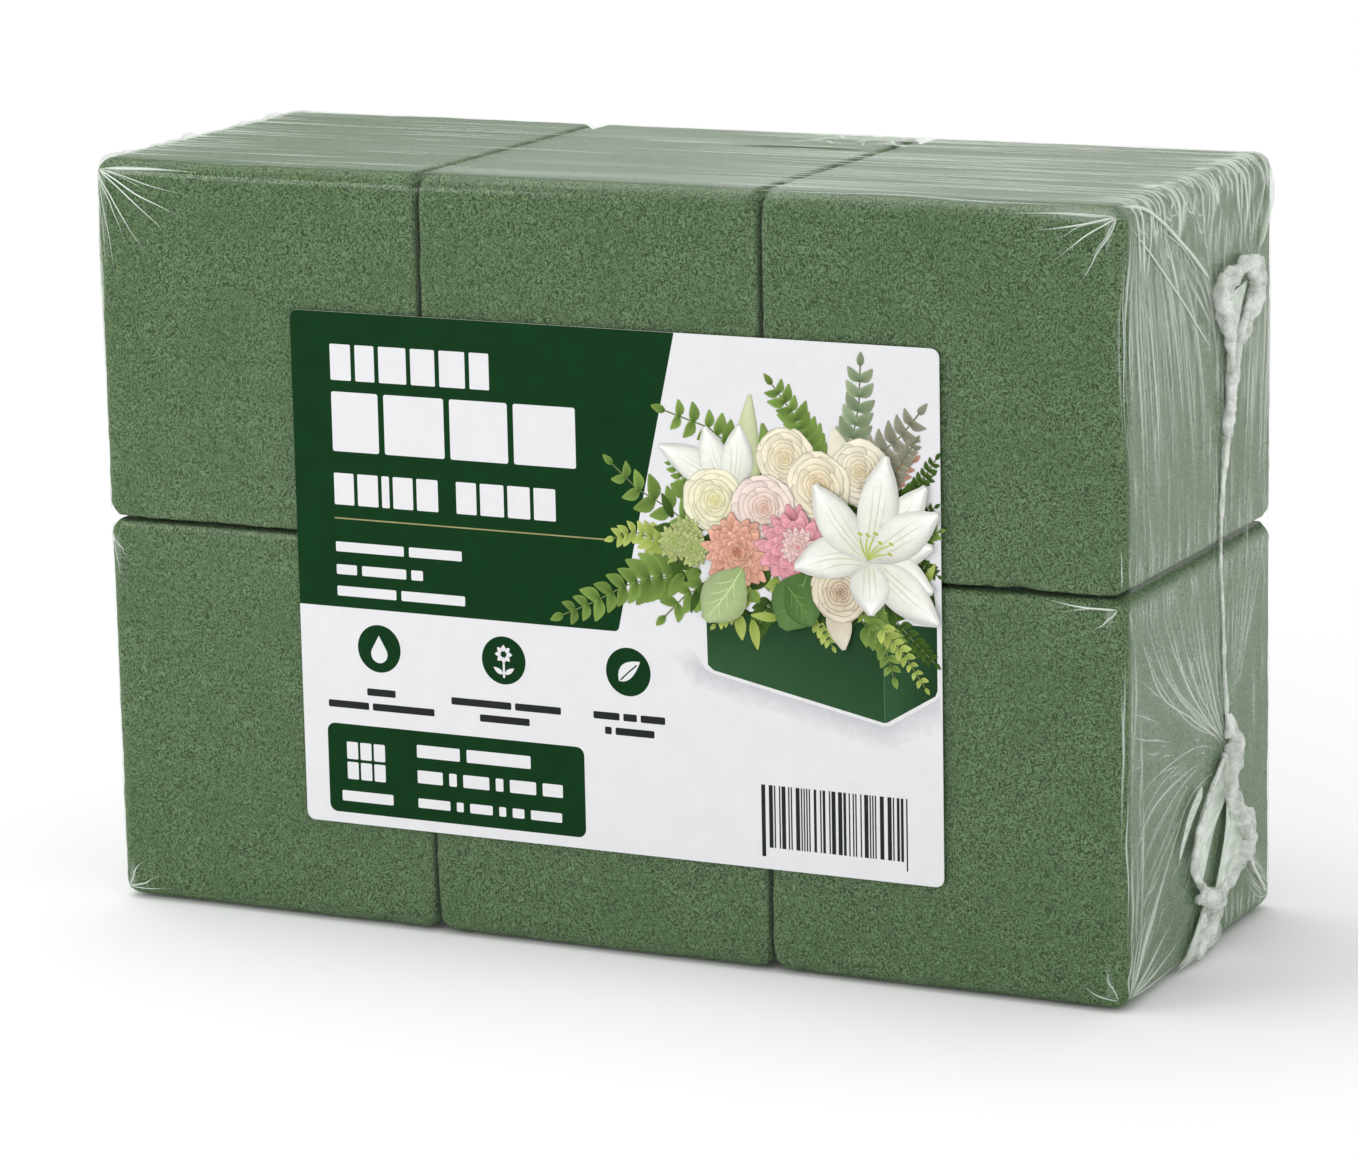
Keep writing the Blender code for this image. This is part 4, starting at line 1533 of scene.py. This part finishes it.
    def lily(self, centre, tips, width, draw, stamens=True):
        """Long pointed petals round a green throat."""
        centre = np.array(centre, float)
        shade, white, rim = (0.52, 0.54, 0.36), (0.97, 0.97, 0.94), (0.78, 0.79, 0.73)
        shadow, root, rib = (0.7, 0.71, 0.66), (0.5, 0.55, 0.36), (0.76, 0.78, 0.68)
        for tip in tips:
            tip = np.array(tip, float)
            bend = draw.uniform(-0.09, 0.09)
            shape = {"bend": bend, "fullness": 0.95, "rise": 0.6, "steps": 16}
            self.shadowed_petal(centre, tip, width, shadow, (shade, white, rim), 0.5, 1.15, **shape)
            side = np.array((centre[1] - tip[1], tip[0] - centre[0])) / np.linalg.norm(tip - centre)
            for offset in (-0.22, 0.0, 0.22):
                base = centre + (tip - centre) * 0.1 + side * width * offset * 0.5
                end = centre + (tip - centre) * (0.82 if offset == 0 else 0.7)
                end = end + side * width * offset * 0.8
                self.petal(base, end, width * 0.045, root, rib, bend=bend, rise=0.2)
        if stamens:
            for turn in range(6):
                angle = 0.3 + 0.32 * turn
                way = np.array((math.cos(angle), math.sin(angle)))
                tip = centre + way * width * draw.uniform(0.5, 0.75)
                self.petal(centre, tip, 0.5, (0.42, 0.5, 0.1), (0.5, 0.58, 0.14), bend=0.08)
                first, last = tip + (-0.6, 0.35), tip + (0.7, -0.3)
                self.petal(first, last, 0.75, (0.4, 0.42, 0.05), (0.52, 0.52, 0.1))

    def broad_leaf(self, base, tip, width, tones):
        """A broad leaf with pale ribs."""
        base, tip = np.array(base, float), np.array(tip, float)
        inner, outer = np.array(tones[0]), np.array(tones[1])
        shape = {"bend": 0.03, "fullness": 1.1, "rise": 0.5, "steps": 12}
        self.petal(base, tip, width, inner, outer, outer * 0.85, **shape)
        side = np.array((base[1] - tip[1], tip[0] - base[0])) / np.linalg.norm(tip - base)
        pale = outer * 1.35
        self.petal(base, base + (tip - base) * 0.93, 0.45, pale, pale, bend=0.03)
        for share in (0.2, 0.38, 0.56):
            for turn in (-1, 1):
                root = base + (tip - base) * share
                out = side * turn * width * 0.36 * (1 - share * 0.5)
                end = base + (tip - base) * (share + 0.28) + out
                self.petal(root, end, 0.35, pale, outer * 1.15, bend=-0.08 * turn)

    def spray(self, points, leaf, tones, draw, pairs=8, lean=0.9, fullness=0.8):
        """A stem with leaves in pairs, which shrink towards its tip."""
        points = np.array(points, float)
        ends = np.linspace(0, len(points) - 1, 16)
        line = np.stack([np.interp(ends, range(len(points)), points[:, axis]) for axis in (0, 1)], axis=1)
        self.flat(strip_shape(line, 0.35), (0.16, 0.2, 0.07))
        for pair in range(pairs + 1):
            share = 0.12 + 0.88 * pair / pairs
            spot = np.array([np.interp(share * 15, range(16), line[:, axis]) for axis in (0, 1)])
            ahead = line[min(int(share * 15) + 1, 15)] - line[max(int(share * 15) - 1, 0)]
            heading = math.atan2(ahead[1], ahead[0])
            size = leaf * (1.15 - 0.6 * share) * draw.uniform(0.85, 1.1)
            sides = (-1, 1) if pair < pairs else (0,)
            for side in sides:
                angle = heading + side * lean
                tip = spot + np.array((math.cos(angle), math.sin(angle))) * size
                inner, outer = (np.array(tone) * draw.uniform(0.8, 1.2) for tone in tones)
                shape = {"bend": side * 0.08, "fullness": fullness, "rise": 0.9, "steps": 5}
                self.petal(spot, tip, size * 0.58, inner, outer, outer * 1.25, **shape)


LEAF_GREENS = ((0.06, 0.12, 0.02), (0.2, 0.31, 0.07))
DEEP_GREENS = ((0.015, 0.04, 0.006), (0.06, 0.12, 0.02))
SAGE_GREENS = ((0.1, 0.16, 0.08), (0.3, 0.36, 0.22))
LIME_GREENS = ((0.18, 0.28, 0.04), (0.42, 0.5, 0.13))
DUSTY_GREENS = ((0.15, 0.15, 0.11), (0.28, 0.28, 0.2))
RUST_TONES = ((0.25, 0.1, 0.06), (0.45, 0.24, 0.17))
CREAM = (0.93, 0.87, 0.68)
CREAM_DEEP = (0.6, 0.38, 0.13)


# Sprays behind the flowers: the stem's places, leaf length, greens, pairs of leaves, how far
# the leaves lean out, fullness.
BACK_SPRAYS = (
    (((131, 101), (126, 107), (119, 112), (107, 115.5)), 6.8, LEAF_GREENS, 8, 1.25, 0.7),
    (((150, 101), (147, 108), (143, 116), (136.5, 124)), 6.6, LEAF_GREENS, 10, 0.95, 0.6),
    (((156, 103), (158, 111), (160, 120), (160.5, 130)), 6.8, SAGE_GREENS, 7, 0.8, 0.7),
    (((160, 104), (165, 108), (171, 113), (176, 119)), 6.6, DUSTY_GREENS, 6, 1.1, 0.5),
    (((163, 100), (168, 102.5), (174, 107)), 5.0, RUST_TONES, 5, 0.8, 0.8),
    (((166, 92), (172, 97), (179.5, 104)), 3.0, DEEP_GREENS, 12, 1.0, 0.7),
    (((166, 88), (173, 91), (180, 96)), 3.0, DEEP_GREENS, 12, 1.0, 0.7),
    (((118, 91), (113, 97), (107.5, 104)), 3.8, LEAF_GREENS, 8, 1.0, 0.7),
    (((115, 86), (107, 91), (99, 95), (92, 101)), 7.0, LEAF_GREENS, 5, 0.9, 0.7),
    (((113, 80), (105, 82), (98, 84), (92, 82)), 5.2, LIME_GREENS, 8, 0.9, 0.7),
    (((113, 74), (104, 73), (95, 70), (86, 65), (77, 61)), 7.6, LEAF_GREENS, 9, 0.85, 0.7),
    (((118, 72), (112, 69), (106, 63)), 7.0, LEAF_GREENS, 3, 0.8, 0.8),
)

# Sprays at the foot and at the right: the stem's places, leaf length, greens, pairs.
LOW_SPRAYS = (
    (((158, 76), (166, 70), (174, 62), (179.5, 57)), 4.4, DEEP_GREENS, 11),
    (((160, 72), (165, 66), (171, 60.5)), 4.0, LEAF_GREENS, 9),
    (((168, 84), (175, 82), (180.6, 79)), 3.4, DEEP_GREENS, 9),
    (((168, 94), (174, 99), (180.4, 108)), 3.4, DEEP_GREENS, 11),
    (((166, 99), (171, 106), (175, 112)), 3.6, DUSTY_GREENS, 8),
    (((172, 88), (177, 88.5), (181, 90)), 3.6, LEAF_GREENS, 6),
    (((136, 70), (133, 65), (131, 60.5)), 4.2, DEEP_GREENS, 6),
    (((126, 72), (124, 66), (120, 62)), 4.0, LIME_GREENS, 6),
    (((146, 70), (149, 64), (152, 59)), 3.8, LIME_GREENS, 6),
)
LOOSE_LEAVES = 260
LOOSE_GREENS = LEAF_GREENS, DEEP_GREENS, DEEP_GREENS, LIME_GREENS

# Roses: middle, radius, the petals' tone, the heart's tone.
ROSES = (
    ((140, 105.5), 7.6, CREAM, (0.6, 0.46, 0.22)),
    ((160, 103.5), 8.0, (0.92, 0.87, 0.71), (0.56, 0.42, 0.2)),
    ((148.8, 99.2), 8.8, CREAM, CREAM_DEEP),
    ((120.4, 93.6), 8.4, (0.93, 0.9, 0.68), (0.62, 0.56, 0.2)),
    ((134.0, 92.6), 8.6, (0.94, 0.81, 0.73), (0.6, 0.32, 0.23)),
)
LIME_HEAD = (0.5, 0.56, 0.24), (0.22, 0.32, 0.06)

# Dahlias: middle, radius, the petals' tone, the heart's tone.
DAHLIAS = (
    ((112.5, 84.6), 4.6, *LIME_HEAD),
    ((109.0, 82.0), 4.6, *LIME_HEAD),
    ((114.0, 81.0), 4.6, *LIME_HEAD),
    ((126.6, 81.0), 9.6, (0.86, 0.48, 0.36), (0.34, 0.1, 0.05)),
    ((142.8, 83.0), 10.8, (0.86, 0.42, 0.47), (0.4, 0.07, 0.1)),
    ((143.4, 83.6), 5.0, (0.9, 0.68, 0.64), (0.55, 0.22, 0.22)),
)

# Broad leaves: base, tip, width, tones.
BROAD_LEAVES = (
    ((128, 77), (117.4, 63), 12.6, ((0.3, 0.42, 0.16), (0.44, 0.54, 0.28))),
    ((146, 77.5), (139.0, 62.5), 13.6, ((0.06, 0.13, 0.03), (0.12, 0.23, 0.07))),
    ((140, 74), (147.0, 64.0), 9.0, ((0.06, 0.12, 0.03), (0.11, 0.21, 0.06))),
)
LILY_TIPS = (181.0, 67.0), (163.0, 68.0), (142.6, 78.6), (148.2, 99.6), (167.6, 108.0), (181.2, 94.5)


def make_planter(art):
    """The block the flowers stand in, with its soft shadow."""
    foot = [(113.0, 56.0), (117.0, 50.0), (128.0, 47.6), (147.0, 43.8), (165.8, 39.8), (180.8, 49.4)]
    fade = [(107.0, 53.0), (113.0, 45.0), (127.0, 42.0), (147.0, 37.4), (167.0, 33.0), (181.3, 40.0)]
    art.band(fade, foot, PAPER_TONE, (0.56, 0.56, 0.59), 0.1)
    left = [(116.7, 66.0), (116.9, 50.6), (118.6, 49.3), (164.9, 39.9)]
    right = [(167.2, 39.9), (180.2, 47.9), (181.0, 49.6), (181.0, 66.0)]
    art.flat(left + right, (0.76, 0.76, 0.77), 0.6)
    light, mid, dark = (0.034, 0.095, 0.04), (0.026, 0.078, 0.031), (0.012, 0.045, 0.016)
    front = [(117.4, 66.0), (117.6, 51.4), (119.2, 50.1), (165.4, 40.7), (165.9, 40.7), (165.9, 66.0)]
    art.flat(front, [dark, light, light, mid, dark, dark], 1.2)
    side = [(165.9, 66.0), (165.9, 40.7), (166.6, 40.8), (179.6, 48.6), (180.2, 50.0), (180.2, 66.0)]
    art.flat(side, [mid, light, light, dark, dark, dark], 1.2)
    art.flat(strip_shape([(165.9, 41.2), (165.9, 64)], 0.3), (0.06, 0.15, 0.07), 1.8)


def make_greenery(art, draw):
    """Sprays and loose leaves behind the flowers."""
    for points, size, tones, pairs, lean, fullness in BACK_SPRAYS:
        art.spray(points, size, tones, draw, pairs, lean, fullness)
    for points, size, tones, pairs in LOW_SPRAYS:
        art.spray(points, size, tones, draw, pairs, 0.95)
    for _ in range(LOOSE_LEAVES):
        spot = np.array((draw.uniform(106, 177), draw.uniform(62, 106)))
        if np.hypot((spot[0] - 144) / 37, (spot[1] - 83) / 21) < 1:
            angle = draw.uniform(0, math.tau)
            tip = spot + np.array((math.cos(angle), math.sin(angle))) * draw.uniform(4, 8)
            art.petal(spot, tip, draw.uniform(2, 4), *draw.choice(LOOSE_GREENS))


def make_flower_print(finish):
    """An arrangement in a foam block: greenery behind, then lilies, roses and dahlias."""
    block = Picture()
    make_planter(block)
    tones = {"tone": np.array(block.values)}
    name = "label_planter_print"
    piece(name, block.points, block.faces, finish, smooth=False, values=tones)
    art = Picture(ground=2.4)
    draw = random.Random(5)
    make_greenery(art, draw)
    bud = (0.42, 0.5, 0.22), (0.66, 0.7, 0.48), (0.5, 0.58, 0.3)
    art.petal((131, 96), (130.5, 121), 6.5, *bud, bend=0.04)
    art.petal((137, 97), (133.8, 114), 5.5, *LEAF_GREENS)
    art.petal((158, 96), (153, 114), 8.5, (0.66, 0.62, 0.45), (0.8, 0.76, 0.62))
    art.lily((125, 95), [(105.5, 106.5), (118, 112), (127.5, 113)], 8.5, draw, False)
    for rose in ROSES:
        art.rose(*rose, draw)
    for dahlia in DAHLIAS:
        art.dahlia(*dahlia, draw)
    for leaf in BROAD_LEAVES:
        art.broad_leaf(*leaf)
    art.spray([(160, 66), (166, 61), (168.5, 52.5)], 5.2, LEAF_GREENS, draw, 6)
    art.spray([(164, 66), (171, 59), (177, 50.5)], 3.4, LIME_GREENS, draw, 8)
    art.petal((153.4, 70), (155.5, 58.5), 7.0, (0.56, 0.46, 0.32), (0.72, 0.68, 0.56))
    art.rose((154.8, 73.0), 7.6, (0.82, 0.73, 0.57), (0.26, 0.13, 0.05), draw)
    art.lily((160.5, 81), [(178, 101), (179.5, 86), (179.5, 75)], 10.0, draw, False)
    art.lily((162.5, 81.8), LILY_TIPS, 10.4, draw)
    tones = {"tone": np.array(art.values)}
    piece("label_flower_print", art.points, art.faces, finish, values=tones)


# ---------------------------------------------------------------- stage


SKY = 0.845
FLOOR_GLOW = 0.02
FLOOR_REACH = 30.0
SUN_FROM = (-0.34, 0.03, 0.94)
SUN_STRENGTH = 0.96
SUN_SPREAD = 50

# Soft lights: name, place, size, power. They look at the middle of the pack.
SOFT_LIGHTS = (
    ("key", (-0.5, -0.65, 0.34), (0.3, 0.3), 1.38),
    ("fill", (1.1, -0.25, 0.17), (0.5, 0.3), 1.25),
)

CAMERA_PLACE = (0.5957, -1.2112, 0.381)
CAMERA_AZIMUTH = 26.25
CAMERA_ELEVATION = 12.27
CAMERA_ROLL = -1.18
CAMERA_LENS = 139.7


def make_stage():
    """The pale floor, the even sky, the sun and the soft lights."""
    finish = Finish("studio_floor", (0.87, 0.87, 0.87), 0.8, Specular_IOR_Level=0.0)
    finish.shader.inputs["Emission Color"].default_value = (1, 1, 1, 1)
    finish.shader.inputs["Emission Strength"].default_value = FLOOR_GLOW
    mesh = bpy.data.meshes.new("floor")
    corners = [(x * FLOOR_REACH, y * FLOOR_REACH, 0) for x, y in ((-1, -1), (1, -1), (1, 1), (-1, 1))]
    mesh.from_pydata(corners, [], [(0, 1, 2, 3)])
    mesh.materials.append(finish.material)
    floor = bpy.data.objects.new("floor", mesh)
    bpy.context.scene.collection.objects.link(floor)
    floor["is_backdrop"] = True
    world = bpy.data.worlds.new("studio")
    world.use_nodes = True
    back = world.node_tree.nodes["Background"]
    back.inputs["Color"].default_value = (1, 1, 1, 1)
    back.inputs["Strength"].default_value = SKY
    bpy.context.scene.world = world
    sun = bpy.data.lights.new("sun", "SUN")
    sun.energy = SUN_STRENGTH
    sun.angle = math.radians(SUN_SPREAD)
    lamp = bpy.data.objects.new("sun", sun)
    lamp.rotation_euler = Vector(SUN_FROM).to_track_quat("Z", "Y").to_euler()
    bpy.context.scene.collection.objects.link(lamp)
    for name, place, size, power in SOFT_LIGHTS:
        light = bpy.data.lights.new(name, "AREA")
        light.shape = "RECTANGLE"
        light.size, light.size_y = size
        light.energy = power
        lamp = bpy.data.objects.new(name, light)
        lamp.location = place
        lamp.rotation_euler = (Vector((0, 0, 0.1)) - Vector(place)).to_track_quat("-Z", "Y").to_euler()
        bpy.context.scene.collection.objects.link(lamp)
    bpy.context.scene.view_settings.view_transform = "Standard"


def make_camera():
    """The camera, level with its horizon apart from a slight roll."""
    data = bpy.data.cameras.new("view")
    data.lens = CAMERA_LENS
    data.sensor_width = 36
    data.clip_start = 0.01
    camera = bpy.data.objects.new("view", data)
    turn = Matrix.Rotation(math.radians(CAMERA_AZIMUTH), 4, "Z")
    tilt = Matrix.Rotation(math.radians(90 - CAMERA_ELEVATION), 4, "X")
    roll = Matrix.Rotation(math.radians(CAMERA_ROLL), 4, "Z")
    camera.matrix_world = Matrix.Translation(CAMERA_PLACE) @ turn @ tilt @ roll
    bpy.context.scene.collection.objects.link(camera)
    bpy.context.scene.camera = camera


def main():
    make_camera()
    make_stage()
    foam = foam_finish()
    for seed, name in enumerate(BRICKS, start=1):
        make_brick(name, seed * 3.7, foam)
    film = film_finish("shrink_film_clear")
    make_film(film)
    melted = melted_finish()
    draw = random.Random(33)
    for end, side in ((1, "right"), (-1, "left")):
        make_bead(end, side, melted, draw)
        make_webs(end, side, film, draw)
    make_back_seal(film)
    white = ink_finish("label_white_ink", PAPER_WHITE, mottle=0.01)
    green = ink_finish("label_green_ink", PANEL_GREEN)
    make_label(ink_finish("label_paper_white", PAPER_WHITE, mottle=0.01))
    make_white_marks(make_panels(green), white)
    black = ink_finish("label_dark_ink", CAPTION_BLACK)
    gold = ink_finish("label_gold_ink", RULE_GOLD)
    make_dark_marks(black, gold, green)
    make_flower_print(print_finish("label_flower_ink"))
    boxes = [[list(map(float, corner)) for corner in box] for box in (cad_bounds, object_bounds())]


main()
